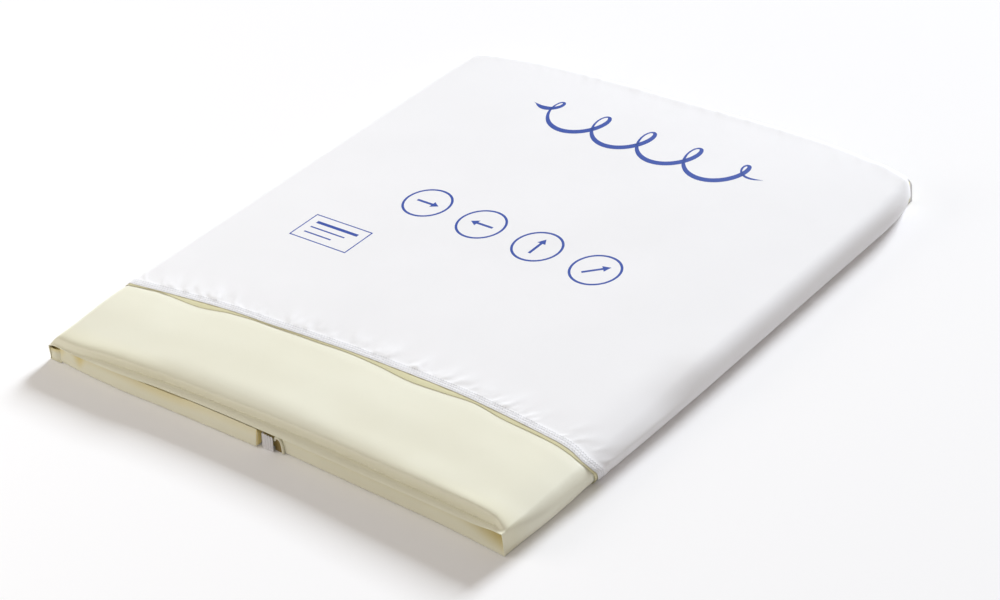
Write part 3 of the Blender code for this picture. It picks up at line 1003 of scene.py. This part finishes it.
class TRANSFERBOARD_OT_stitching(bpy.types.Operator):
    """Sews the rows of thread along the sleeve's hems"""

    bl_idname = "transferboard.stitching"
    bl_label = "Hem stitching"

    def execute(self, context):
        rise = 0.03 * MM
        last = SEAM_X + FOLD_PATH - 3 * MM
        for end, rows in (("near", STITCH_ROWS), ("far", [SLEEVE_LENGTH - row for row in STITCH_ROWS])):
            shape = bmesh.new()
            for index, v in enumerate(rows):
                points = [top_point("sleeve", u, v, rise) for u in self.stitches(-SEAM_X, SEAM_X, index)]
                stitch_row(shape, points, [UP] * len(points), STITCH_SIZE)
            piece = add_thread(shape, f"hem_thread_{end}_top", "thread")
            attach(piece, "centre_panel")
            for side, word in SIDES:
                shape = bmesh.new()
                for index, v in enumerate(rows):
                    places = self.stitches(SEAM_X, last, index)
                    points = [round_fold_point("sleeve", side, side * u, v, rise) for u in places]
                    normals = [self.normal(side, u - SEAM_X, point) for u, point in zip(places, points)]
                    stitch_row(shape, points, normals, STITCH_SIZE)
                piece = add_thread(shape, f"hem_thread_{end}_{word}_fold", "thread")
                fold_blend(piece, side, 0.0)
        return {"FINISHED"}

    def stitches(self, start, end, row):
        """Middles of a row's stitches, between its needle holes."""
        pitch = bpy.context.scene.transfer_board_sizes.stitch_pitch
        shift = 0.5 - row % 2 / 2
        steps = range(math.ceil(start / pitch - shift), math.floor(end / pitch - shift))
        return [pitch * (step + shift) for step in steps]

    def normal(self, side, c, point):
        """The way out of the cloth at a point round a fold."""
        if c < SEAM_INSET:
            return UP
        if c > COVER_FOLD:
            return -UP
        return (point - Vector((side * HINGE_X, point.y, HINGE_Z))).normalized()


# The cover

# The face of a wing's near lip, from its mouth under the top lip down to the floor: how far it stands
# behind its foremost line, as a share of its lean, and how far down it is
LIP_FACE = (
    (1.0, 0.0), (0.88, 0.09), (0.76, 0.19), (0.63, 0.3), (0.5, 0.41), (0.37, 0.52), (0.25, 0.63),
    (0.14, 0.74), (0.05, 0.84), (0.0, 0.92), (0.12, 0.965), (0.5, 0.99), (1.1, 1.0),
)

# How high a wing's inner cloth lies just behind its lip
LIP_BACK = 13.7 * MM


def cover_rows():
    """Stations along the cover: fine where it drops and where it shows, coarse under the sleeve."""
    step, shoulder, sleeve = NEAR_END + 20 * MM, NEAR_END + 60 * MM, -165 * MM
    rows = spread(NEAR_END, step, 28)[:-1] + spread(step, shoulder, 32)[:-1]
    rows += spread(shoulder, sleeve, 22)[:-1]
    return rows + spread(sleeve, FAR_END - FAR_MARGIN["cover"], 34)


def cover_y(x, row):
    """Rounds the cover's far corners in plan and draws its near edge to its line."""
    far_line = FAR_END - FAR_MARGIN["cover"]
    near = (along_table(LIP_EDGE, x) - NEAR_END) * fade(row, NEAR_END, 14 * MM)
    corner = far_edge(x, FAR_MARGIN["cover"]) - far_line
    return row + near + corner * s_curve(row, far_line - FAR_DRAW_RUN, FAR_DRAW_RUN)


def cover_soft(x, y):
    """Slight waves of the loose cover, which presses up against the lining where it leaves the sleeve."""
    shown, run = -200 * MM, 30 * MM
    loose = 0.22 * MM * fade(y, CORE_NEAR, run) * ripple(x, y * 2.0, 42 * MM, 1.9)
    broad = 0.13 * MM * fade(y, shown, run) * ripple(x * 0.9 + y * 0.5, y, 48 * MM, 12.4)
    out = along_table(EDGE["lining"], x) - y
    past_hem = along_table(EDGE["sleeve"], x) - y
    raised = 0.44 * s_curve(past_hem, 0.0, 2.2 * MM) + 0.2 * s_curve(out, 0.0, 9 * MM)
    return loose + broad + (0.27 + raised * fade(out, 30 * MM, 35 * MM)) * MM


class TRANSFERBOARD_OT_cover(bpy.types.Operator):
    """Makes the cream inner cover, whose near end closes in flattened lips"""

    bl_idname = "transferboard.cover"
    bl_label = "Inner cover"

    def execute(self, context):
        rows = cover_rows()
        depth = DEPTH["cover"]

        def place(x, row):
            y = cover_y(x, row)
            return Vector((x, y, top_height(x, y) - depth + cover_soft(x, y)))

        top = add_cloth("cover_top", "cover", CLOTH["cover"], spread(-SEAM_X, SEAM_X, 160), rows, place)
        flat = (2 * SEAM_X, rows[-1] - rows[0])
        declare(top, "cover", "centre_panel", flat, "centre_outer_foam_pad", ["top_cover"])
        for side, word in SIDES:
            self.add_fold(side, word, depth, rows)
            self.add_wing(side, word, depth)
            self.add_pocket(side, word, depth)
        self.add_corner_lip()
        self.add_far_end(depth)
        add_inner_cloth("cover")
        return {"FINISHED"}

    def add_fold(self, side, word, depth, rows):
        """The cover round a fold."""

        def place(u, row):
            c = abs(u) - SEAM_X
            reach = (RADIUS - depth) * math.sin(fold_turn(c)) - max(0.0, SEAM_INSET - c)
            y = cover_y(side * (HINGE_X + reach), row)
            lift = cover_soft(u, y) * fade(c, SEAM_INSET, ARC_LENGTH * 0.5)
            return fold_point(side, c, y, depth, lift)

        part, columns = f"{word}_fold", fold_columns(side, COVER_FOLD)
        fold = add_cloth(f"cover_{part}", "cover", CLOTH["cover"], columns, rows, place, side < 0)
        flat = (COVER_FOLD, rows[-1] - rows[0])
        declare(fold, "cover", None, flat, f"{part}_foam_pad", [f"{part}_cover"], side, True)

    def add_wing(self, side, word, depth):
        """The cover round a wing, with its near lip."""
        stations = wing_path(depth, 0.5, HINGE_X)
        spots = {side * (SEAM_X + COVER_FOLD + length): (x, z) for x, z, length in stations}
        high = stations[-1][1]
        lip_rows = [index * 0.5 * MM for index in range(len(LIP_FACE))]
        far = FAR_END - FAR_MARGIN["cover"]
        rows = lip_rows + spread(7 * MM, 22 * MM, 10)[:-1] + spread(22 * MM, 110 * MM, 26)
        rows += spread(110 * MM, far - NEAR_END, 34)[1:]

        def place(u, row):
            x, z = spots[u]
            from_top = (high - z) / (high - depth)
            front = along_table(FLOOR_EDGE[side], side * x)
            mouth, lean = (along_table(LOWER_LIP[side], side * x, column) for column in (1, 2))
            sag = floor_sag(NEAR_END + row, depth) * s_curve(from_top)
            if row in lip_rows:
                backward, share = LIP_FACE[lip_rows.index(row)]
                top_y = front + lean + row * 0.8
                low_y = front + backward * (lean if share < 0.92 else 3 * MM)
                top_z = mix(mouth, LIP_BACK, s_curve(row, 0.0, 5.5 * MM))
                low_z = mix(mouth, depth - sag, share)
                return Vector((side * x, mix(top_y, low_y, from_top), mix(top_z, low_z, from_top)))
            y = NEAR_END + row + (front - NEAR_END) * fade(row, 5 * MM, 20 * MM)
            y += lean * (1.0 - from_top) * fade(row, 7 * MM, 25 * MM)
            corner = far_edge(side * x, FAR_MARGIN["cover"]) - far
            y += corner * s_curve(y, far - FAR_DRAW_RUN, FAR_DRAW_RUN)
            lift = (LIP_BACK - high) * fade(row, 6 * MM, 14 * MM) * (1.0 - from_top)
            return Vector((side * x, y, z - sag + lift))

        # Painted golden shade: all over the left wing's free edge, which stands in shade by the tab, and
        # down from each lip's mouth under the top lip.
        def golden_shade(u, row):
            x, z = spots[u]
            if row not in lip_rows:
                return 0.0
            if side < 0 and x < HALF_GAP + 2 * MM and z > 2 * MM:
                return 1.0
            warmth = along_table(MOUTH_GOLD[side], side * x, unit=1.0)
            down = LIP_FACE[lip_rows.index(row)][1] * (high - z) / (high - depth)
            return warmth * fade(down, 0.0, 0.35 + 0.6 * warmth)

        part, columns = f"{word}_wing", list(spots)
        wing = add_cloth(f"cover_{part}", "cover", CLOTH["cover"], columns, rows, place, side < 0, golden_shade)
        flat = (stations[-1][2], rows[-1])
        declare(wing, "cover", part, flat, f"{part}_outer_foam_pad", [f"{part}_cover"])

    def add_pocket(self, side, word, depth):
        """The inner cloth that closes a near corner, seen in the shade between the fold and the lips, and
        painted golden all over as that shade.
        """
        behind = 3.5 * MM if side < 0 else 9.5 * MM

        def place(share, c):
            y = NEAR_END + behind + 1.5 * MM * share
            rim = fold_point(side, c, y, depth + 0.9 * MM)
            return Vector((mix(rim.x, side * (HINGE_X - 9 * MM), share), y, rim.z))

        columns = spread(0.0, 1.0, 6)
        rows = spread(SEAM_INSET + 0.1 * ARC_LENGTH, SEAM_INSET + 0.92 * ARC_LENGTH, 16)
        name = f"pocket_{word}"
        pocket = add_cloth(name, "cover", 0.3 * MM, columns, rows, place, side > 0, lambda share, c: 1.0)
        spans = [[corner.co[axis] for corner in pocket.data.vertices] for axis in (0, 2)]
        flat = tuple(max(span) - min(span) for span in spans)
        declare(pocket, "cover", None, flat, f"cover_{word}_fold", fold=side, narrow=True, held="folded")

    def add_corner_lip(self):
        """The lower lip's end, which closes the lower half of the left near corner."""

        def place(share, z):
            x = mix(HINGE_X + 11.1 * MM, HINGE_X - 1.5 * MM, share)
            return Vector((-x, -279.5 * MM + 0.06 * z + 1.9 * MM * s_curve(share, 0.4, 0.6), z))

        # Painted golden shade up its top, where it lies in the shade under the top lip.
        def golden_shade(share, z):
            return 0.7 * s_curve(z, 6.5 * MM, 4.5 * MM)

        columns, rows = spread(0.0, 1.0, 10), spread(0.9 * MM, 11.0 * MM, 12)
        lip = add_cloth("corner_lip_left", "cover", CLOTH["cover"], columns, rows, place, golden_shade=golden_shade)
        flat = (0.0121, 0.0102)
        declare(lip, "cover", None, flat, "cover_left_fold", fold=-1, narrow=True, held="folded")

    def add_far_end(self, depth):
        """The cloth that closes the cover's far end, a little inside the sleeve's open end."""
        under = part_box("centre_inner_cover")[1].z
        parts = [("centre", "centre_panel", "cover_top", -HINGE_X, HINGE_X, 60, under, STACK - depth)]
        for side, word in SIDES:
            start, end = sorted((side * (HALF_GAP + depth), side * HINGE_X))
            wing = f"{word}_wing"
            parts.append((wing, wing, f"cover_{wing}", start, end, 30, depth, WING_TOP - depth))
        for word, body, lies_on, start, end, count, low, high in parts:

            def place(x, share):
                y = far_edge(x, FAR_STRIP_MARGIN)
                top = top_height(x, y) - depth if word == "centre" else high
                return Vector((x, y + 0.8 * MM * math.sin(math.pi * share), mix(low, top, share)))

            columns, rows = spread(start, end, count), spread(0.0, 1.0, 6)
            piece = add_cloth(f"cover_far_end_{word}", "cover", 0.4 * MM, columns, rows, place, True)
            declare(piece, "cover", body, (end - start, high - low + MM), lies_on)


class TRANSFERBOARD_OT_notch(bpy.types.Operator):
    """Makes what shows between the lower lips: a pleated white tab and the mouth of a small cloth tunnel"""

    bl_idname = "transferboard.notch"
    bl_label = "Tab and tunnel between the lips"

    def execute(self, context):
        self.add_tab()
        self.add_tunnel()
        self.add_backing()
        self.add_overlock()
        return {"FINISHED"}

    def add_tab(self):
        """A white cloth tab folded into pleats, sewn to the left wing's free edge."""
        width, height = 13.0 * MM, 12.4 * MM

        def place(u, v):
            pleat = 0.55 * MM * math.sin(u * 2 * math.pi / (2.6 * MM)) * s_curve(v, 0.0, 2 * MM)
            back = 2.6 * MM * fade(u, 0.0, 2.2 * MM)
            y = -276.2 * MM + pleat + back + 0.12 * v
            return Vector((-8.6 * MM + u, y, 0.5 * MM + v * mix(1.0, 0.93, u / width)))

        columns, rows = spread(0.0, width, 56), spread(0.0, height, 10)
        tab = add_cloth("folded_white_tab", "tab", 0.5 * MM, columns, rows, place)
        declare(tab, "sleeve", "left_wing", (0.018, height), "cover_left_wing", held="folded")

    def add_tunnel(self):
        """The open end of the right wing's edge, a small arch with a thick rolled rim, and a sheet inside it
        painted dark as its shade.
        """
        middle, half, tall, front = 7.6 * MM, 4.7 * MM, 12.0 * MM, -274.6 * MM
        roll = 0.8
        rim = [(roll * math.cos(t), roll * (1.0 - math.sin(t))) for t in spread(-0.5, math.pi, 9)]
        rim += [(-roll, 2 * roll), (-0.9, 7.0)]

        def arch(angle, grow):
            across = math.copysign(abs(math.cos(angle)) ** 0.8, math.cos(angle))
            return middle + (half + grow) * across, 0.3 * MM + (tall + grow) * math.sin(angle) ** 0.9

        def rim_place(angle, step):
            grow, back = rim[step]
            x, z = arch(angle, grow * MM)
            return Vector((x, front + back * MM + 0.1 * z, z))

        def hollow_place(angle, share):
            x, z = arch(angle, -0.5 * MM)
            y = front + 1.3 * MM + 0.1 * z * share
            return Vector((mix(middle, x, share), y, z * mix(0.05, 1.0, share)))

        columns, rows = spread(0.02, 2.3, 24), range(len(rim))
        mouth = add_cloth("tunnel_mouth", "cover", 0.3 * MM, columns, rows, rim_place, True)
        declare(mouth, "cover", "right_wing", (0.0175, 0.01), "cover_right_wing", held="folded")
        # A sheet across the arch, painted dark brown as the shade inside it.
        columns, rows = spread(0.02, math.pi - 0.02, 24), spread(0.0, 1.0, 5)
        hollow = add_cloth("tunnel_hollow", "hollow", 0.3 * MM, columns, rows, hollow_place, True)
        flat, area = (0.01, 0.01), 0.000085
        declare(hollow, "cover", "right_wing", flat, "cover_right_wing", held="folded", area=area)

    def add_backing(self):
        """The cloth that shows behind the gap between the lips, painted golden all over as the shade there.
        """

        def place(u, v):
            return Vector((mix(-10.5, 4.6, u), -269.5 - math.sin(u * math.pi), mix(0.6, 12.6, v))) * MM

        columns, rows = spread(0.0, 1.0, 8), spread(0.0, 1.0, 6)
        backing = add_cloth("gap_backing", "cover", 0.4 * MM, columns, rows, place, golden_shade=lambda u, v: 1.0)
        declare(backing, "cover", "left_wing", (0.0153, 0.012), "cover_left_wing", held="folded")

    def add_overlock(self):
        """Overlock thread over the raw ends of both lower lips."""
        for side, word, start, columns in ((-1, "left", 10.0, 2), (1, "right", 14.6, 1)):
            shape = bmesh.new()
            for column in range(columns):
                x = side * (start + 1.5 * column) * MM
                front = along_table(FLOOR_EDGE[side], x)
                mouth, lean = (along_table(LOWER_LIP[side], x, item) for item in (1, 2))
                points = []
                for step in range(8):
                    share = (step + 0.5 * column) / 8
                    points.append(Vector((x, front + lean * share, mix(1.2 * MM, mouth - MM, share))))
                normals = [Vector((0.0, -1.0, 0.2))] * len(points)
                stitch_row(shape, points, normals, (1.1 * MM, 0.7 * MM, 0.5 * MM))
            piece = add_thread(shape, f"overlock_{word}", "cover_thread")
            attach(piece, f"{word}_wing")


# The print


def ink_stroke(shape, path, width, count):
    """Adds one printed stroke along path(share), width(share) wide, lying on the sleeve."""
    strip = bmesh.ops.create_grid(shape, x_segments=count, y_segments=2, size=0.5)
    for corner in strip["verts"]:
        share = corner.co.x + 0.5
        centre, ahead, behind = (Vector(path(share + step)) for step in (0.0, 0.001, -0.001))
        along = (ahead - behind).normalized()
        spot = centre + Vector((-along.y, along.x)) * corner.co.y * width(share)
        corner.co = (spot.x, spot.y, top_height(spot.x, spot.y) + 0.08 * MM)


def ink_line(shape, start, end, width, count):
    """Adds a straight stroke of one width, in millimetres."""
    start, end = Vector(start), Vector(end)
    path = lambda share: (start * (1.0 - share) + end * share) * MM
    ink_stroke(shape, path, lambda share: width * MM, count)


def ink_ring(shape, middle, radius, width, count):
    """Adds a ring of one width, in millimetres."""

    def path(share):
        turn = share * 2 * math.pi
        return (Vector(middle) + radius * Vector((math.cos(turn), math.sin(turn)))) * MM

    ink_stroke(shape, path, lambda share: width * MM, count)


def ink_arrow(shape, start, end, width):
    """Adds a straight arrow, in millimetres."""
    neck = end - (end - start).normalized() * width * 2.6
    ink_line(shape, start, neck, width, 4)
    path = lambda share: (neck * (1.0 - share) + end * share) * MM
    ink_stroke(shape, path, lambda share: 3.2 * width * MM * max(0.02, 1.0 - share), 6)


class TRANSFERBOARD_OT_print(bpy.types.Operator):
    """Prints a blue pen-loop scroll, a row of rings with arrows and a small ruled frame on the sleeve"""

    bl_idname = "transferboard.print"
    bl_label = "Print"

    def execute(self, context):
        for word, draw in (("scroll", self.scroll), ("rings", self.rings), ("frame", self.frame)):
            shape = bmesh.new()
            draw(shape)
            name = f"print_{word}"
            piece = thicken(add_piece(name, finish_bmesh(shape, name), "ink"), 0.12 * MM)
            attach(piece, "centre_panel")
        return {"FINISHED"}

    def scroll(self, shape):
        """A broad-nib row of loops between two long tails."""
        turns = 5 * 2 * math.pi
        start, length, loop_width, loop_height = -125, 255, 15, 20
        line, slope, tail_rise = 190, 0.06, 6
        thin, thick, least = 1.8, 6.4, 0.05

        def path(share):
            size = s_curve(share, 0.0, 0.12) * fade(share, 0.88, 0.12)
            x = start + length * share + loop_width * size * math.sin(turns * share)
            y = line - slope * x - loop_height * size * math.cos(turns * share)
            return Vector((x, y + tail_rise * (1.0 - size))) * MM

        def width(share):
            taper = s_curve(share, 0.0, 0.05) * fade(share, 0.95, 0.05)
            nib = mix(thin, thick, 0.5 + 0.5 * math.sin(turns * share + 0.7))
            return (nib * taper + least) * MM

        ink_stroke(shape, path, width, 260)

    def rings(self, shape):
        """Four rings, each with a plain arrow."""
        arrows = (((-11, 0), (12, 0)), ((12, 0), (-11, 0)), ((0, -11), (0, 12)), ((-8, -8), (9, 9)))
        for index, (start, end) in enumerate(arrows):
            middle = Vector((-95 + 62 * index, 22 - 4 * index))
            ink_ring(shape, middle, 21, 2.2, 56)
            ink_arrow(shape, middle + Vector(start), middle + Vector(end), 2.6)

    def frame(self, shape):
        """A small rounded frame with three ruled bars."""
        for row, width in enumerate((3.4, 1.6, 1.6)):
            y = -47 - 8 * row
            ink_line(shape, (-158, y), (-112 - 8 * row, y), width, 12)
        for y in (-38, -72):
            ink_line(shape, (-166, y), (-104, y), 1.2, 12)
        for x in (-166, -104):
            ink_line(shape, (x, -72.6), (x, -37.4), 1.2, 8)


# The core


def foam_slab(name, low, high, columns, rows, top_of=None):
    """A foam sheet with rounded edges and far corners, as high as top_of says where that is given."""
    shape = bmesh.new()
    bmesh.ops.create_grid(shape, x_segments=columns, y_segments=rows, size=0.5)
    raised = bmesh.ops.extrude_face_region(shape, geom=shape.faces[:])["geom"]
    upper = {item for item in raised if isinstance(item, bmesh.types.BMVert)}
    for corner in shape.verts:
        x = mix(low.x, high.x, corner.co.x + 0.5)
        y = mix(low.y, min(high.y, far_edge(x, 13 * MM)), corner.co.y + 0.5)
        top = top_of(x, y) if top_of else high.z
        corner.co = (x, y, max(top, low.z + 0.5 * MM) if corner in upper else low.z)
    bmesh.ops.recalc_face_normals(shape, faces=shape.faces)
    rim = [
        edge for edge in shape.edges
        if len(edge.link_faces) == 2 and edge.link_faces[0].normal.dot(edge.link_faces[1].normal) < 0.5
    ]
    bmesh.ops.bevel(shape, geom=rim, offset=0.7 * MM, segments=3, profile=0.5, affect="EDGES", material=-1)
    bmesh.ops.recalc_face_normals(shape, faces=shape.faces)
    if shape.calc_volume(signed=True) < 0.0:
        bmesh.ops.reverse_faces(shape, faces=shape.faces)
    return sorted_mesh(shape, name)


def sorted_mesh(shape, name):
    """Turns a bmesh into a mesh sorted by place, because bevel lists its faces in another order each run."""
    corners = sorted(shape.verts, key=lambda corner: tuple(corner.co))
    rank = {corner: index for index, corner in enumerate(corners)}
    faces = []
    for face in shape.faces:
        ring = [rank[corner] for corner in face.verts]
        first = ring.index(min(ring))
        faces.append(ring[first:] + ring[:first])
    mesh = bpy.data.meshes.new(name)
    mesh.from_pydata([corner.co for corner in corners], [], sorted(faces))
    shape.free()
    return mesh


def declare_pad(node):
    """Hides the node whose foam a piece stands in for."""
    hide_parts(node)


class TRANSFERBOARD_OT_core(bpy.types.Operator):
    """Pads the panels and folds with foam and finishes the stiff sheets"""

    bl_idname = "transferboard.core"
    bl_label = "Foam and stiff sheets"

    def execute(self, context):
        low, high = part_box("centre_outer_foam")
        start = Vector((low.x + MM, low.y + 8 * MM, low.z))
        end = Vector((high.x - 7 * MM, high.y, high.z))
        under_top = lambda x, y: top_height(x, y) - DEPTH["foam"]
        self.add_pad("centre_outer_foam", "centre_panel", start, end, 60, 66, under_top)
        self.add_pad("centre_inner_foam", "centre_panel", *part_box("centre_inner_foam"), 40, 44)
        inset = Vector((0.8 * MM, 0.0, 0.0))
        for side, word in SIDES:
            for layer in ("outer_foam", "inner_foam"):
                node = f"{word}_wing_{layer}"
                low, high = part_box(node)
                self.add_pad(node, f"{word}_wing", low + inset, high - inset, 20, 44)
            self.add_fold_pad(side, f"{word}_fold_foam")
        for node in ("centre_stiffener", "left_wing_stiffener", "right_wing_stiffener"):
            for slot in frame["nodes"][node].material_slots:
                slot.material = FINISH["sheet"]
        return {"FINISHED"}

    def add_pad(self, node, body, *slab):
        """The foam layer of a panel or wing."""
        name = f"{node}_pad"
        pad = add_piece(name, foam_slab(name, *slab), "foam", 35)
        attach(pad, body)
        declare_pad(node)

    def add_fold_pad(self, side, node):
        """The foam carried round a fold."""
        low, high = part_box(node)
        columns = [column for column in fold_columns(side, COVER_FOLD) if abs(column) >= HINGE_X - 0.01 * MM]
        rows = spread(low.y, high.y - 14 * MM, 60)

        def place(u, y):
            return fold_point(side, abs(u) - SEAM_X, y, DEPTH["foam"])

        pad = add_cloth(f"{node}_pad", "foam", 3 * MM, columns, rows, place, side < 0)
        bpy.context.view_layer.objects.active = pad
        bpy.ops.object.modifier_apply(modifier="cloth_thickness")
        fold_blend(pad, side, DEPTH["foam"])
        declare_pad(node)


# Camera, light and floor


class TRANSFERBOARD_OT_stage(bpy.types.Operator):
    """Sets the floor, the soft lights and the camera"""

    bl_idname = "transferboard.stage"
    bl_label = "Stage"

    def execute(self, context):
        scene = context.scene
        shape = bmesh.new()
        bmesh.ops.create_circle(shape, cap_ends=True, segments=96, radius=9.0)
        bmesh.ops.translate(shape, vec=(0.0, 0.0, -0.05 * MM), verts=shape.verts)
        add_piece("floor", finish_bmesh(shape, "floor"), "floor")
        self.add_world(scene)
        self.add_light(scene, "low_key_softbox", (-1.15, 16.0, 6.44), (5.07, 3.8), 4264.0, (0.93, 1.0, 1.08))
        self.add_light(scene, "overhead_softbox", (-0.5, -0.6, 2.5), (2.2, 2.2), 7.0, (1.0, 0.96, 0.9))
        self.add_light(scene, "front_left_fill", (-1.25, -1.1, 0.75), (1.1, 0.9), 8.0, (1.0, 0.97, 0.9))
        self.add_camera(scene)
        scene.view_settings.view_transform = "Standard"
        return {"FINISHED"}

    def add_world(self, scene):
        """Even white light from all round."""
        world = bpy.data.worlds.new("studio")
        world.use_nodes = True
        tree = world.node_tree
        light = tree.nodes["Background"]
        light.inputs["Color"].default_value = (1.0, 0.935, 0.87, 1.0)
        path = tree.nodes.new("ShaderNodeLightPath").outputs
        strength = math_node(tree, "MULTIPLY_ADD", path["Is Camera Ray"], 0.68, 0.32)
        tree.links.new(strength, light.inputs["Strength"])
        scene.world = world

    def add_light(self, scene, name, place, size, power, colour):
        """A soft light that faces the board's near half."""
        data = bpy.data.lights.new(name, "AREA")
        data.shape = "RECTANGLE"
        data.size, data.size_y = size
        data.energy = power
        data.color = colour
        facing = Vector(place) - Vector((0.0, -0.2, 0.0))
        self.link_turned(scene, name, data, place, facing.to_track_quat("Z", "Y"))

    def add_camera(self, scene):
        """The camera at the photo's place, turn and lens."""
        yaw, pitch, roll = (math.radians(angle) for angle in (-43.084, 33.116, -7.238))
        ahead = Vector((math.sin(yaw) * math.cos(pitch), math.cos(yaw) * math.cos(pitch), -math.sin(pitch)))
        level = ahead.cross(UP).normalized()
        upward = level.cross(ahead)
        right = math.cos(roll) * level + math.sin(roll) * upward
        up = -math.sin(roll) * level + math.cos(roll) * upward
        turn = Matrix((right, up, -ahead)).transposed().to_quaternion()
        data = bpy.data.cameras.new("photo_camera")
        data.sensor_width = 36.0
        data.lens = 86.15
        data.clip_end = 50.0
        place = (1.11964, -1.20367, 1.04772)
        scene.camera = self.link_turned(scene, "photo_camera", data, place, turn)

    def link_turned(self, scene, name, data, place, turn):
        """Links a light or camera at its place and turn."""
        item = bpy.data.objects.new(name, data)
        item.location = place
        item.rotation_mode = "QUATERNION"
        item.rotation_quaternion = turn
        scene.collection.objects.link(item)
        return item


OPERATORS = (
    TRANSFERBOARD_OT_core,
    TRANSFERBOARD_OT_cover,
    TRANSFERBOARD_OT_notch,
    TRANSFERBOARD_OT_lining,
    TRANSFERBOARD_OT_sleeve,
    TRANSFERBOARD_OT_stitching,
    TRANSFERBOARD_OT_print,
    TRANSFERBOARD_OT_stage,
)


class VIEW3D_PT_transfer_board(bpy.types.Panel):
    """Buttons for each group of pieces, and their sizes and colours"""

    bl_label = "Transfer Board"
    bl_idname = "VIEW3D_PT_transfer_board"
    bl_space_type = "VIEW_3D"
    bl_region_type = "UI"
    bl_category = "Transfer Board"

    def draw(self, context):
        for operator in OPERATORS:
            self.layout.operator(operator.bl_idname)
        for group in (context.scene.transfer_board_sizes, context.scene.transfer_board_colours):
            box = self.layout.box()
            for name in group.bl_rna.properties.keys():
                if name not in ("rna_type", "name"):
                    box.prop(group, name)


CLASSES = (TransferBoardColours, TransferBoardSizes, *OPERATORS, VIEW3D_PT_transfer_board)


def register():
    for item in CLASSES:
        bpy.utils.register_class(item)
    bpy.types.Scene.transfer_board_colours = bpy.props.PointerProperty(type=TransferBoardColours)
    bpy.types.Scene.transfer_board_sizes = bpy.props.PointerProperty(type=TransferBoardSizes)


def unregister():
    del bpy.types.Scene.transfer_board_sizes
    del bpy.types.Scene.transfer_board_colours
    for item in reversed(CLASSES):
        bpy.utils.unregister_class(item)


def main():
    """Builds the whole board."""
    register()
    build_finishes()
    for operator in OPERATORS:
        group, name = operator.bl_idname.split(".")
        if getattr(getattr(bpy.ops, group), name)() != {"FINISHED"}:
            raise RuntimeError(f"{operator.bl_label} wasn't finished")


if __name__ == "__main__":
    main()
